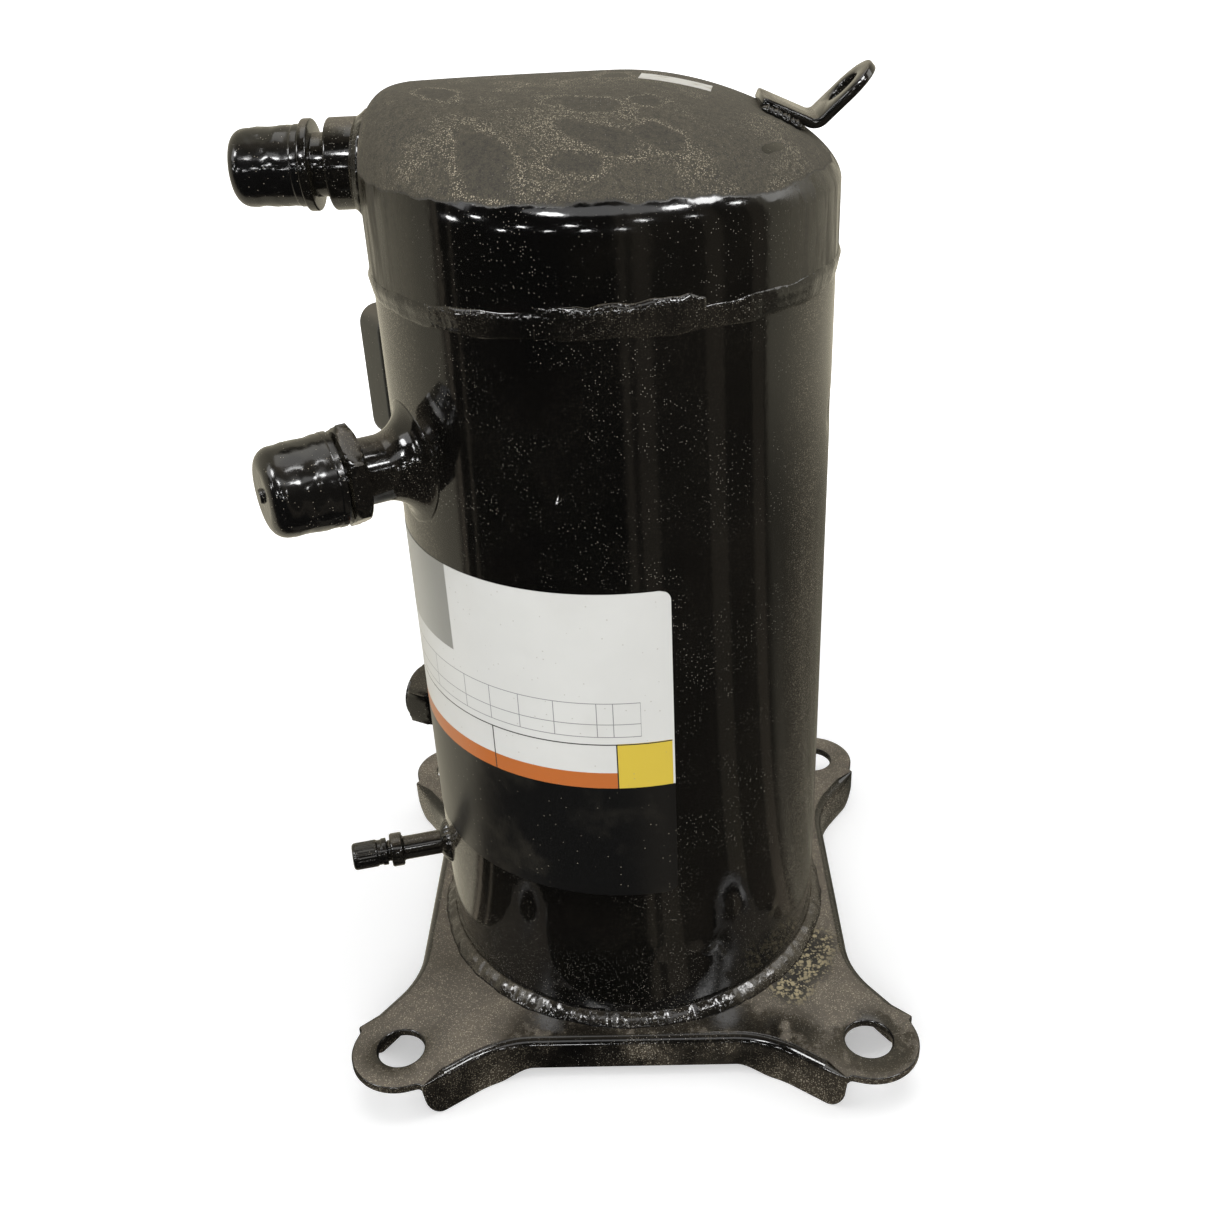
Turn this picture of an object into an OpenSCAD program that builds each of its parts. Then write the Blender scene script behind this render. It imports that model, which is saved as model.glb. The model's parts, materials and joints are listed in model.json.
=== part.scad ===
// Hermetic scroll compressor: welded shell on a four-ear base, with its motor, crank and scroll set inside.
// Origin under the middle of the base, at the level of the flange edges it stands on. The photo's left is -X.

/* [Shell] */
// Outer radius of the rolled shell
shell_r = 82.5; // [80:0.5:86]
// Wall of the shell
shell_t = 3; // [2.5:0.1:3.4]
// Height of the shell's upper end
shell_top = 313; // [311:0.5:316]
// Wall of the pressed bottom cap
bottom_t = 3; // [2:0.1:4]
// Height of the bottom cap's lowest point
bottom_z = 5; // [2:0.5:10]
// Height to which the bottom cap's rim reaches into the shell
bottom_rim_z = 34; // [28:1:40]

/* [Top cap] */
// How far the cap stands out past the shell
cap_step = 0.7; // [0.3:0.1:1.5]
// Wall of the cap
cap_t = 3.5; // [2.5:0.1:4]
// Height of the cap's straight skirt
skirt_h = 25.6; // [20:0.2:30]
// Rise of the dome above the skirt
dome_h = 34.5; // [30:0.5:40]
// Where the level ridge of the dome ends on the discharge side
ridge_left = 65; // [56:1:68]
// Where the level ridge ends on the lug side
ridge_right = 6.5; // [2:0.5:12]
// Fullness of the dome at front and back
full_side = 2.1; // [1.8:0.1:2.6]
// Fullness of the dome at the discharge wall
full_left = 2.6; // [2.2:0.1:3.2]
// Fullness of the dome on the lug side
full_right = 1.65; // [1.5:0.05:2]

/* [Base plate] */
// Pitch of the four mounting holes
hole_pitch = 190.5; // [186:0.5:196]
// Radius of a mounting hole
hole_r = 9.5; // [8:0.1:10.5]
// Radius of an ear
ear_r = 20.3; // [18:0.1:23]
// Thickness of the pressed plate
plate_t = 3.5; // [2.5:0.1:5]
// Depth of the down-turned flange, which is also the height of the ears
foot_h = 20; // [16:0.5:25]
// How much higher the flange ends along the straight sides
side_rise = 5; // [3:0.5:8]
// Rounding of the flange's lower corners
flange_round = 8; // [5:0.5:10]
// Distance of a straight side from the middle
side_d = 94; // [91:0.5:96]
// Half length of a straight side
side_half = 54; // [45:1:60]
// Where the slanted part of a side reaches the ear, along the side
corner_along = 84; // [80:0.5:86]
// Where the slanted part of a side reaches the ear, out from the middle
corner_out = 115.2; // [113:0.2:117]

/* [Suction fitting] */
// Bearing of the suction fitting round the shell
suction_az = 209; // [200:1:218]
// Height of the suction fitting
suction_z = 255.6; // [248:0.2:262]
// Radius of its thread
suction_thread_r = 14.6; // [13.6:0.1:16]
// Radius of its tube
suction_tube_r = 12; // [11.4:0.1:13]
// Radius of its bore
suction_bore_r = 9.8; // [8.5:0.1:10.4]
// Width across the flats of its hex collar
suction_hex = 33.5; // [33:0.5:38]
// Wall of a transit cap
transit_wall = 1.9; // [1.5:0.1:2.4]
// Length of the suction transit cap
suction_cap_l = 26; // [25.5:0.5:32]

/* [Discharge fitting] */
// Height of the discharge fitting over the shell's upper end
discharge_z = 38.4; // [35:0.2:41]
// Radius of its boss
discharge_boss_r = 15.4; // [14:0.1:18]
// Length of its boss outside the cap
discharge_boss_l = 9.7; // [8:0.1:14]
// Radius of its thread
discharge_thread_r = 11.3; // [11:0.1:13]
// Radius of its bore
discharge_bore_r = 7.5; // [6:0.1:8.5]
// Length of the discharge transit cap
discharge_cap_l = 25; // [25:0.5:30]
// Travel of the check valve's disc
check_travel = 2; // [1:0.1:3]

/* [Oil fittings] */
// Bearing of the service port
port_az = 194; // [188:1:200]
// Height of the service port
port_z = 66.3; // [60:0.2:72]
// Radius of the port's tube
port_r = 5.2; // [4.6:0.1:6]
// Length of the port's tube outside the shell
port_l = 20; // [16:0.5:26]
// Bearing of the sight glass
sight_az = 153; // [147:1:159]
// Height of the sight glass
sight_z = 100; // [94:0.5:106]
// Width across the flats of the sight glass body
sight_hex = 27; // [24:0.5:30]
// Travel of the valve core's pin
pin_travel = 1; // [0.5:0.1:1.5]

/* [Terminal box] */
// Bearing of the terminal box
box_az = 126; // [122:1:128]
// Height of the middle of the terminal box
box_z = 253; // [249:0.5:257]
// Width of the box round the shell
box_w = 90; // [80:1:94]
// Height of the box
box_h = 54; // [48:0.5:58]
// How far the box stands out from the shell
box_d = 36; // [32:0.5:42]
// Wall of the box
box_t = 2.4; // [1.8:0.1:3]

/* [Lifting lug] */
// Thickness of the lug's strip
lug_t = 3.3; // [2.8:0.1:5]
// Width of the lug
lug_w = 24; // [18:0.5:30]
// Radius of the lug's hole
lug_hole_r = 6; // [4:0.1:7]
// Length of the lug's upright part
lug_l = 27; // [24:0.5:32]

/* [Scroll set] */
// Rim of the orbiting plate outside its wrap
orbit_edge = 15; // [14:0.2:16]
// Room between that rim and the middle of the bolts
bolt_room = 7.4; // [7:0.1:8]
// Thickness of a wrap
wrap_t = 3.2; // [2.8:0.1:3.6]
// Height of the wraps
wrap_h = 16; // [14:0.5:18]
// Half turns in each wrap
half_turns = 6; // [4:1:6]
// Thickness of the orbiting scroll's plate
orbit_plate_t = 8; // [7:0.2:10]
// Thickness of the fixed scroll's plate
fixed_plate_t = 8.4; // [7:0.2:10]
// Depth of the floating seal's recess
recess_h = 12; // [11:0.2:13]
// Least gap left between the wraps
flank_gap = 0.3; // [0.2:0.05:0.5]
// Depth of the thrust face that carries the orbiting scroll, under the shell's upper end
thrust_z = 45; // [43:0.5:48]
// Lift of the floating seal
seal_travel = 0.8; // [0.4:0.1:1]
// Axial play of the fixed scroll
scroll_lift = 0.6; // [0.2:0.1:0.7]

/* [Crank and motor] */
// Radius of the crankshaft
shaft_r = 14; // [12.5:0.1:15]
// Radius of the crank pin
pin_r = 7.4; // [6.8:0.1:7.8]
// Radius of the shaft's lower journal
journal_r = 9; // [8:0.1:10]
// Wall of each bearing bush
bush_t = 2.5; // [1.8:0.1:3]
// Running clearance of a journal, on the radius
run_gap = 0.05; // [0.02:0.01:0.1]
// Height of the lower bearing bracket
bracket_z = 50; // [46:0.5:54]
// Height of the motor's lower face
motor_z = 116; // [114:1:120]
// Length of the motor's iron
stack_h = 64; // [56:1:66]
// Winding's width as a share of the shell's inside radius
winding_share = 0.27; // [0.26:0.005:0.28]
// Gap between rotor and stator
air_gap = 0.6; // [0.4:0.1:1]
// Slots in the stator
slots = 24; // [18:6:30]

/* [Hidden] */
$fn = 64;

// Clearances and small features
fit = 0.05;
seat = 0.3;
cut = 1;
chamfer = 1.2;

// Shell and cap
inner_r = shell_r - shell_t;
ear_at = hole_pitch / 2;
shell_bottom = foot_h - plate_t;
rim_t = 3;
cap_r = shell_r + cap_step;
cap_bottom = shell_top + rim_t;
knuckle_z = cap_bottom + skirt_h;
discharge_mid = shell_top + discharge_z;
thrust_face = shell_top - thrust_z;
dome_rings = 12;
dome_sides = 72;
stake_az = 78.6;
stake_z = thrust_face - 8;
stake_r = 14;
stake_depth = 1.3;

// Fittings, by distance from the shell's axis
tube_in = inner_r - 4;
suction_hex_at = shell_r + 19;
suction_hex_l = 6.5;
suction_neck_l = 1.5;
suction_thread_l = 19;
suction_cap_at = suction_hex_at + suction_hex_l + suction_neck_l;
suction_cap_in = suction_thread_r + seat;
suction_collar_r = suction_tube_r + 10;
discharge_in = cap_r - cap_t - 3;
discharge_neck_at = cap_r + discharge_boss_l;
discharge_neck_l = 5.5;
discharge_neck_r = discharge_thread_r - 0.6;
discharge_flange_at = discharge_neck_at + discharge_neck_l;
discharge_flange_l = 3.5;
discharge_thread_at = discharge_flange_at + discharge_flange_l;
discharge_thread_l = 19;
discharge_cap_at = discharge_thread_at + seat;
discharge_cap_in = discharge_thread_r + seat;
valve_bore_r = discharge_bore_r + 3;
valve_seat_t = 2;
valve_disc_t = 1;
valve_stop_t = 2;
valve_room = valve_seat_t + seat + valve_disc_t + check_travel + seat + valve_stop_t;
port_nut_at = shell_r + port_l;
port_nut_l = 5.5;
port_nut_r = port_r + 2.1;
port_thread_at = port_nut_at + port_nut_l;
port_thread_r = port_r - 0.6;
port_thread_l = 12;
port_bore_r = 2.6;
port_cap_at = port_thread_at + 1.5;
port_cap_l = 15;
port_cap_wall = 1;
core_l = 9;
core_pin_r = 0.8;
core_pin_l = 10;
core_end = port_thread_at + port_thread_l - 2;
sight_boss_l = 13;
sight_boss_r = sight_hex / 2 - 2;
sight_gasket_t = 1;
sight_body_at = shell_r + sight_boss_l + sight_gasket_t;
sight_body_l = 14;
sight_bore_r = 8;
sight_lens_t = 5;
sight_lip = 1.2;

// Terminal box, by distance from the shell's axis
terminal_r = 19;
terminal_pin_r = 1.6;
terminal_pin_at = 9;
glass_r = 3.2;
terminal_floor = 2.4;
terminal_in = inner_r - 2;
terminal_out = shell_r + 1.5;
pin_in = terminal_in - 7;
pin_out = terminal_out + 14;
plug_r = 16.5;
plug_at = terminal_out + 0.3;
plug_l = 17;
box_back = sqrt(pow(shell_r, 2) - pow(box_w / 2, 2)) - 1;
box_front = shell_r + box_d;
box_split = box_front - 12;
box_corner = 6;
cover_lap = 8;
cover_t = 2;
grommet_r = 7;
grommet_rho = shell_r + grommet_r + 0.8;

// Lug, seated on the dome
lug_edge = 26.2;
lug_mid = cap_r - lug_edge;
lug_back = 3;
lug_front = 18.5;
lug_slope = atan((dome_z(lug_mid - 1, 0, cap_r, dome_h) - dome_z(lug_mid + 1, 0, cap_r, dome_h)) / 2);
lug_rise = 42;
lug_round = lug_w * 0.52;

// Scroll set, upwards from the thrust face
bolt_at = inner_r - 10;
pitch = (bolt_at - bolt_room - orbit_edge - wrap_t / 2) / (half_turns / 2 + 0.25);
orbit_e = pitch / 2 - wrap_t - flank_gap;
wrap_r0 = pitch / 2;
wrap_out = wrap_r0 + (half_turns - 1) * pitch / 2 + pitch / 4 + wrap_t / 2;
orbit_low = thrust_face + seat;
orbit_top = orbit_low + orbit_plate_t;
orbit_r = wrap_out + orbit_edge;
thrust_r = orbit_r - 18;
post_r = orbit_r + orbit_e + 1;
fixed_low = orbit_top + seat;
fixed_face = fixed_low + wrap_h + seat;
fixed_plate_top = fixed_face + fixed_plate_t;
fixed_top = fixed_plate_top + recess_h;
fixed_wall_r = wrap_out + orbit_e + 3;
fixed_r = orbit_r + 0.5;
post_top = fixed_low - seat;
bolt_r = 3;
bolt_bite = 5;
bolt_hex = 10;
bolt_head_h = 6;
sleeve_r = bolt_r + 2.4;
fixed_ear_r = 8;
fixed_ear_h = 10;
sleeve_top = fixed_low + fixed_ear_h + scroll_lift + seat;
inlet_w = 24;
recess_in = 14;
recess_out = fixed_r - 12.6;
recess_wall = 4;
seal_low = fixed_plate_top + scroll_lift + seat;
seal_plate_t = 3;
seal_web_t = 1;
seal_upper_t = 7;
seal_lip_h = 4;
seal_lip_t = 1.75;
seal_neck_in = 28;
seal_neck_out = 36;
seal_top = seal_low + seal_plate_t + seal_web_t + seal_upper_t + seal_lip_h;
muffler_z = seal_top + seal_travel + seat;
muffler_t = 3;
muffler_flat_r = recess_out + recess_wall + 3;
muffler_rim_r = inner_r - 5;
oldham_in = thrust_r + orbit_e + 1;
oldham_out = orbit_r - 1;
oldham_t = 4.5;
oldham_gap = 0.5;
oldham_low = orbit_low - oldham_gap - oldham_t;
key_w = 8;
key_h = 4;
key_l = oldham_out - oldham_in;

// Crank and bearings
hub_bearing_r = pin_r + 3.6;
hub_r = hub_bearing_r + bush_t + 3.5;
hub_l = 20;
hub_low = orbit_low - hub_l;
cavity_r = hub_r + orbit_e + 2;
cavity_low = hub_low - 2;
motor_top = motor_z + stack_h;
end_ring_h = 8;
weight_h = 9;
weight_gap = 2;
upper_weight_z = motor_top + end_ring_h + weight_gap;
housing_gap = 3;
housing_low = upper_weight_z + weight_h + housing_gap;
housing_cone = 12;
housing_hub_r = shaft_r + bush_t + 10;
housing_plate_t = 12;
housing_floor = oldham_low - 1;
housing_rim_r = inner_r - 0.1;
arm_half = 17;
bush_low = housing_low + 2;
bush_top = cavity_low - 1;
pin_base = cavity_low;
pin_top = orbit_low - 2;
bracket_t = 6;
bracket_hub_r = journal_r + bush_t + 5;
bracket_hub_low = bracket_z - 8;
bracket_hub_top = bracket_z + 14;
bracket_floor = bracket_z - 4;
disc_t = 0.8;
shaft_low = bracket_floor + disc_t + 0.1;
shaft_step = bracket_hub_top + 2;
oil_bore_r = 3;
oil_lap = 1.3;
oil_riser_r = orbit_e - oil_bore_r + oil_lap;
pickup_l = 22;
pickup_gap = 1.2;
winding_out = inner_r - 15;
winding_in = winding_out - inner_r * winding_share;
rotor_r = winding_in - 5 - air_gap;
weight_r = rotor_r - 3.5;
weight_half = 80;
hub_step = 0.6;
end_ring_share = 0.535;
lower_weight_z = motor_z - end_ring_h - weight_h;
winding_h = 15;
slot_w = 4.6;
slot_l = 15;
slot_start = rotor_r + air_gap + 3.5;
stator_flat = inner_r - 4;

// Height of the dome over its skirt, level along a ridge and falling to zero at the rim radius r
function ridge_x(x) = min(max(x, -ridge_left), ridge_right);
function fullness(c) = full_side + (c < 0 ? full_left - full_side : full_right - full_side) * c * c;
function reach(q, ux, r) = sqrt(pow(q * ux, 2) - q * q + r * r) - q * ux;
function falloff(u, n) = pow(max(0, 1 - pow(min(u, 1), n)), 1 / n);
function dome_from(q, ux, s, r, h) = let (m = reach(q, ux, r)) h * falloff(s / m, fullness((q + ux * m) / r));
function dome_z(x, y, r, h) = let (q = ridge_x(x), s = sqrt(pow(x - q, 2) + y * y))
    s < 0.001 ? h : dome_from(q, (x - q) / s, s, r, h);
function dome_ring(i, r, h) = [for (j = [0:dome_sides - 1])
    let (a = 360 * j / dome_sides, d = r * sin(90 * i / dome_rings), x = d * cos(a), y = d * sin(a))
    [x, y, knuckle_z + dome_z(x, y, r, h)]];
function skirt_ring(r) = [for (j = [0:dome_sides - 1])
    [r * cos(360 * j / dome_sides), r * sin(360 * j / dome_sides), cap_bottom]];
function dome_points(r, h) = concat([[0, 0, knuckle_z + h]],
    [for (i = [1:dome_rings]) each dome_ring(i, r, h)], skirt_ring(r));
function at(base, i, j) = base + 1 + i * dome_sides + j % dome_sides;
function flip(face, on) = on ? [face[0], face[2], face[1]] : face;
function dome_faces(base, on) = concat(
    [for (j = [0:dome_sides - 1]) flip([base, at(base, 0, j + 1), at(base, 0, j)], on)],
    [for (i = [0:dome_rings - 1], j = [0:dome_sides - 1], k = [0, 1])
        flip(k == 0 ? [at(base, i, j), at(base, i, j + 1), at(base, i + 1, j + 1)]
            : [at(base, i, j), at(base, i + 1, j + 1), at(base, i + 1, j)], on)]);
function rim_faces(a, b) = [for (j = [0:dome_sides - 1], k = [0, 1])
    k == 0 ? [at(a, dome_rings, j), at(a, dome_rings, j + 1), at(b, dome_rings, j + 1)]
        : [at(a, dome_rings, j), at(b, dome_rings, j + 1), at(b, dome_rings, j)]];

// Puts children's +Z along the radius at a bearing and a height
module radial(az, z) {
    rotate([0, 0, az]) translate([0, 0, z]) rotate([0, 90, 0]) children();
}

// A round bar from one distance to another along Z
module bar(r, from, to) {
    translate([0, 0, from]) cylinder(r = r, h = to - from);
}

// A round bar with a taper
module taper(r1, r2, from, to) {
    translate([0, 0, from]) cylinder(r1 = r1, r2 = r2, h = to - from);
}

// A ring from one height to another
module ring(r_in, r_out, from, to) {
    difference() {
        bar(r_out, from, to);
        bar(r_in, from - cut, to + cut);
    }
}

// A hex prism by its width across the flats
module hex(flats, from, to) {
    translate([0, 0, from]) cylinder(d = flats / cos(30), h = to - from, $fn = 6);
}

// The space inside the shell's outer face, with a gap
module shell_space(gap = fit) {
    bar(shell_r + gap, 0, knuckle_z);
}

// A sector of a ring, in the middle of which lies +X
module sector(r_in, r_out, half, from, to) {
    translate([0, 0, from]) rotate([0, 0, -half])
        rotate_extrude(angle = 2 * half) translate([r_in, 0]) square([r_out - r_in, to - from]);
}

// Children at the four arms that hold the housing in the shell
module at_arms() {
    for (k = [0:3]) rotate([0, 0, stake_az + 90 * k]) children();
}

// A scroll wall of half turns whose radius grows by half a pitch each, about two alternating centres
module wrap(from, to) {
    for (k = [0:half_turns - 1])
        translate([(k % 2 == 0 ? -1 : 1) * pitch / 4, 0, from]) rotate([0, 0, 180 * (k % 2)])
            rotate_extrude(angle = 180) translate([wrap_r0 + k * pitch / 2 - wrap_t / 2, 0])
                square([wrap_t, to - from]);
}

// Outline of the base plate, one quarter repeated: slanted edge, straight side, slanted edge
function side_points(d) = [[-corner_along, -corner_out + d], [-side_half, -side_d + d],
    [side_half, -side_d + d], [corner_along, -corner_out + d]];
function turned(p, a) = [p[0] * cos(a) - p[1] * sin(a), p[0] * sin(a) + p[1] * cos(a)];
module base_outline() {
    polygon([for (a = [0:90:270], p = side_points(0)) turned(p, a)]);
    for (sx = [-1, 1], sy = [-1, 1]) translate([sx * ear_at, sy * ear_at]) circle(r = ear_r);
}
module base_flange() {
    outer = side_points(0);
    inner = side_points(plate_t * 1.1);
    difference() {
        linear_extrude(height = foot_h - plate_t) polygon(concat(outer, [for (i = [3:-1:0]) inner[i]]));
        translate([-side_half + plate_t, -side_d - cut, -cut])
            cube([2 * (side_half - plate_t), plate_t * 1.1 + 2 * cut, side_rise + cut]);
        for (s = [0, 1]) mirror([s, 0, 0]) translate([-corner_along, -corner_out, 0])
            rotate([0, 0, atan2(corner_out - side_d, corner_along - side_half)]) round_off();
    }
}
module round_off() {
    difference() {
        translate([-ear_r, -ear_r / 2, -cut]) cube([ear_r + flange_round, ear_r, flange_round + cut]);
        translate([flange_round, 0, flange_round]) rotate([90, 0, 0]) bar(flange_round, -ear_r, ear_r);
    }
}
module base_plate() {
    color([0.1, 0.1, 0.1]) difference() {
        union() {
            translate([0, 0, shell_bottom]) linear_extrude(height = plate_t) base_outline();
            for (a = [0:90:270]) rotate([0, 0, a]) base_flange();
        }
        bar(shell_r + fit, -cut, foot_h + cut);
        for (sx = [-1, 1], sy = [-1, 1]) translate([sx * ear_at, sy * ear_at, 0])
            bar(hole_r, -cut, foot_h + cut);
    }
}

base_weld_w = 5;
module base_weld() {
    color([0.08, 0.08, 0.08]) rotate_extrude() polygon([[shell_r + fit, foot_h], [shell_r + base_weld_w, foot_h],
        [shell_r + base_weld_w * 0.35, foot_h + base_weld_w * 0.5], [shell_r + fit, foot_h + base_weld_w]]);
}

bottom_dish = 14;
module bottom_cap() {
    rim = inner_r - fit;
    color([0.2, 0.2, 0.2]) rotate_extrude() polygon([[0, bottom_z], [rim * 0.55, bottom_z + 1.5],
        [rim - bottom_dish, bottom_z + 5], [rim, bottom_z + 5 + bottom_dish], [rim, bottom_rim_z],
        [rim - bottom_t, bottom_rim_z], [rim - bottom_t, bottom_z + 6 + bottom_dish],
        [rim - bottom_dish - 1.5, bottom_z + 5 + bottom_t], [rim * 0.55, bottom_z + 1.5 + bottom_t],
        [0, bottom_z + bottom_t]]);
}

module center_shell() {
    color([0.07, 0.07, 0.07]) difference() {
        ring(inner_r, shell_r, shell_bottom, shell_top);
        radial(suction_az, suction_z) bar(suction_tube_r + fit, 0, shell_r + cut);
        radial(port_az, port_z) bar(port_r + fit, 0, shell_r + cut);
        radial(sight_az, sight_z) bar(sight_boss_r + fit, 0, shell_r + cut);
        radial(box_az, box_z) bar(terminal_r + fit, 0, shell_r + cut);
        at_arms() translate([shell_r + stake_r - stake_depth, 0, stake_z]) sphere(r = stake_r);
    }
}

// Bead over the three edges of shell, plate rim and cap
weld_w = 4;
weld_h = 1.1;
module seam_weld() {
    low = shell_r + fit;
    high = cap_r + fit;
    color([0.07, 0.07, 0.07]) rotate_extrude() polygon([[low, shell_top - weld_w], [high + weld_h * 0.6,
        shell_top - weld_w * 0.4], [high + weld_h, cap_bottom - rim_t / 2], [high + weld_h * 0.7,
        cap_bottom + weld_w * 0.4], [high, cap_bottom + weld_w], [high, shell_top - fit],
        [low, shell_top - fit]]);
}

module top_cap() {
    inside = cap_r - cap_t;
    count = 1 + (dome_rings + 1) * dome_sides;
    color([0.07, 0.07, 0.07]) difference() {
        polyhedron(points = concat(dome_points(cap_r, dome_h), dome_points(inside, dome_h - cap_t)),
            faces = concat(dome_faces(0, false), dome_faces(count, true), rim_faces(0, count)));
        radial(180, discharge_mid) bar(valve_bore_r + 2 + fit, ridge_left, cap_r + cut);
    }
}

// Rim clamped between shell and cap, a drawn shoulder and a flat middle with the gas hole
gas_hole_r = 9;
module muffler_plate() {
    color([0.45, 0.45, 0.46]) difference() {
        rotate_extrude() polygon([[gas_hole_r, muffler_z], [muffler_flat_r, muffler_z],
            [muffler_rim_r, shell_top], [shell_r, shell_top], [shell_r, cap_bottom], [muffler_rim_r, cap_bottom],
            [muffler_flat_r, muffler_z + muffler_t], [gas_hole_r, muffler_z + muffler_t]]);
        translate([relief_at, 0, 0]) bar(relief_stem_r + fit, muffler_z - cut, muffler_z + muffler_t + cut);
    }
}

relief_at = 40;
relief_stem_r = 4;
relief_hex = 13;
relief_l = 9;
module relief_valve() {
    top = muffler_z + muffler_t;
    color([0.72, 0.58, 0.25]) translate([relief_at, 0, 0]) difference() {
        union() {
            bar(relief_stem_r, muffler_z, top);
            hex(relief_hex, top, top + relief_l);
        }
        bar(1.5, muffler_z - cut, top + relief_l + cut);
    }
}

// Strip on the dome's slope, turned up to a round end with a hole
module lifting_lug() {
    top = knuckle_z + dome_z(lug_mid, 0, cap_r, dome_h);
    bend = lug_slope + lug_rise;
    tip = [lug_front + lug_l * cos(bend), lug_l * sin(bend)];
    profile = [[-lug_back, 0], [lug_front, 0], tip, tip + lug_t * [-sin(bend), cos(bend)],
        [lug_front - lug_t * tan(bend / 2), lug_t], [-lug_back, lug_t]];
    color([0.08, 0.08, 0.08]) translate([lug_mid, 0, top]) rotate([0, lug_slope, 0]) translate([0, 0, seat])
        difference() {
            rotate([90, 0, 0]) linear_extrude(height = lug_w, center = true) polygon(profile);
            translate([lug_front, 0, 0]) rotate([0, -bend, 0]) lug_end();
        }
}
module lug_end() {
    translate([lug_l - lug_w / 2, 0, 0]) bar(lug_hole_r, -cut, lug_t + cut);
    difference() {
        translate([lug_l - lug_w / 2, -lug_w / 2 - cut, -cut]) cube([lug_w, lug_w + 2 * cut, lug_t + 2 * cut]);
        translate([lug_l - lug_round, 0, 0]) bar(lug_round, -2 * cut, lug_t + 2 * cut);
    }
}

module suction_spigot() {
    thread_end = suction_cap_at + suction_thread_l;
    color([0.1, 0.1, 0.1]) difference() {
        radial(suction_az, suction_z) difference() {
            union() {
                bar(suction_tube_r, tube_in, suction_hex_at);
                taper(suction_collar_r, suction_tube_r, shell_r + 2.5, shell_r + 8);
                bar(suction_collar_r, shell_r - 4, shell_r + 2.5);
                hex(suction_hex, suction_hex_at, suction_hex_at + suction_hex_l);
                bar(suction_tube_r, suction_hex_at, suction_cap_at);
                bar(suction_thread_r, suction_cap_at, thread_end - chamfer);
                taper(suction_thread_r, suction_thread_r - chamfer, thread_end - chamfer, thread_end);
            }
            bar(suction_bore_r, tube_in - cut, thread_end + cut);
        }
        difference() {
            shell_space();
            radial(suction_az, suction_z) bar(suction_tube_r, 0, shell_r + 2 * cut);
        }
    }
}

// Push-on cap with a slight taper and a rounded end
module transit_cap(r_in, wall, from, l, draft) {
    r = r_in + wall;
    nose = wall * 2;
    difference() {
        union() {
            taper(r, r - draft, from, from + l - nose);
            taper(r - draft, r - draft - nose * 0.35, from + l - nose, from + l - nose * 0.4);
            taper(r - draft - nose * 0.35, r - draft - nose, from + l - nose * 0.4, from + l);
        }
        bar(r_in, from - cut, from + l - wall - nose);
    }
}
module suction_cap() {
    color([0.04, 0.04, 0.04]) radial(suction_az, suction_z)
        transit_cap(suction_cap_in, transit_wall, suction_cap_at, suction_cap_l, 0.9);
}

baffle_half = 13;
baffle_h = 38;
baffle_t = 1.2;
baffle_r = inner_r - 9;
module suction_baffle() {
    low = suction_z - baffle_h;
    high = suction_z + baffle_h / 2;
    color([0.6, 0.6, 0.6]) rotate([0, 0, suction_az]) {
        sector(baffle_r, baffle_r + baffle_t, baffle_half, low, high);
        for (s = [-1, 1]) rotate([0, 0, s * (baffle_half - 0.6)])
            sector(baffle_r, inner_r - fit, 0.6, low, low + baffle_h / 4);
    }
}

module discharge_spigot() {
    thread_end = discharge_thread_at + discharge_thread_l;
    color([0.09, 0.09, 0.09]) radial(180, discharge_mid) difference() {
        union() {
            bar(valve_bore_r + 2, discharge_in, cap_r + cut);
            bar(discharge_boss_r, cap_r + fit, discharge_neck_at);
            bar(discharge_neck_r, discharge_neck_at, discharge_flange_at);
            bar(discharge_boss_r, discharge_flange_at, discharge_thread_at);
            bar(discharge_thread_r, discharge_thread_at, thread_end - chamfer);
            taper(discharge_thread_r, discharge_thread_r - chamfer, thread_end - chamfer, thread_end);
        }
        bar(discharge_bore_r, discharge_in - cut, thread_end + cut);
        bar(valve_bore_r, discharge_in - cut, discharge_in + valve_room);
    }
}
module discharge_cap() {
    color([0.04, 0.04, 0.04]) radial(180, discharge_mid)
        transit_cap(discharge_cap_in, transit_wall, discharge_cap_at, discharge_cap_l, 0.5);
}

module check_valve_seat() {
    color([0.7, 0.7, 0.7]) radial(180, discharge_mid)
        ring(discharge_bore_r - 2, valve_bore_r - fit, discharge_in, discharge_in + valve_seat_t);
}
module check_valve_disc() {
    from = discharge_in + valve_seat_t + seat;
    color([0.8, 0.8, 0.82]) radial(180, discharge_mid) bar(valve_bore_r - 2 * seat, from, from + valve_disc_t);
}
module check_valve_stop() {
    to = discharge_in + valve_room;
    color([0.7, 0.7, 0.7]) radial(180, discharge_mid) difference() {
        bar(valve_bore_r - fit, to - valve_stop_t, to - fit);
        for (k = [0:2]) rotate([0, 0, 120 * k]) translate([discharge_bore_r - 3, 0, 0])
            bar(2.4, to - valve_stop_t - cut, to + cut);
    }
}

module service_port() {
    thread_end = port_thread_at + port_thread_l;
    color([0.09, 0.09, 0.09]) difference() {
        radial(port_az, port_z) difference() {
            union() {
                bar(port_r, tube_in, port_nut_at);
                taper(port_r + 3, port_r, shell_r + 1.5, shell_r + 4);
                bar(port_r + 3, shell_r - 2, shell_r + 1.5);
                bar(port_nut_r, port_nut_at, port_thread_at);
                bar(port_thread_r, port_thread_at, thread_end);
            }
            bar(port_bore_r, tube_in - cut, thread_end + cut);
        }
        difference() {
            shell_space();
            radial(port_az, port_z) bar(port_r, 0, shell_r + 2 * cut);
        }
    }
}
module valve_core() {
    color([0.75, 0.6, 0.3]) radial(port_az, port_z)
        ring(core_pin_r + run_gap, port_bore_r - fit, core_end - core_l, core_end);
}
module valve_core_pin() {
    end = core_end + pin_travel + seat;
    color([0.78, 0.66, 0.36]) radial(port_az, port_z) bar(core_pin_r, end - core_pin_l, end);
}
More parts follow.
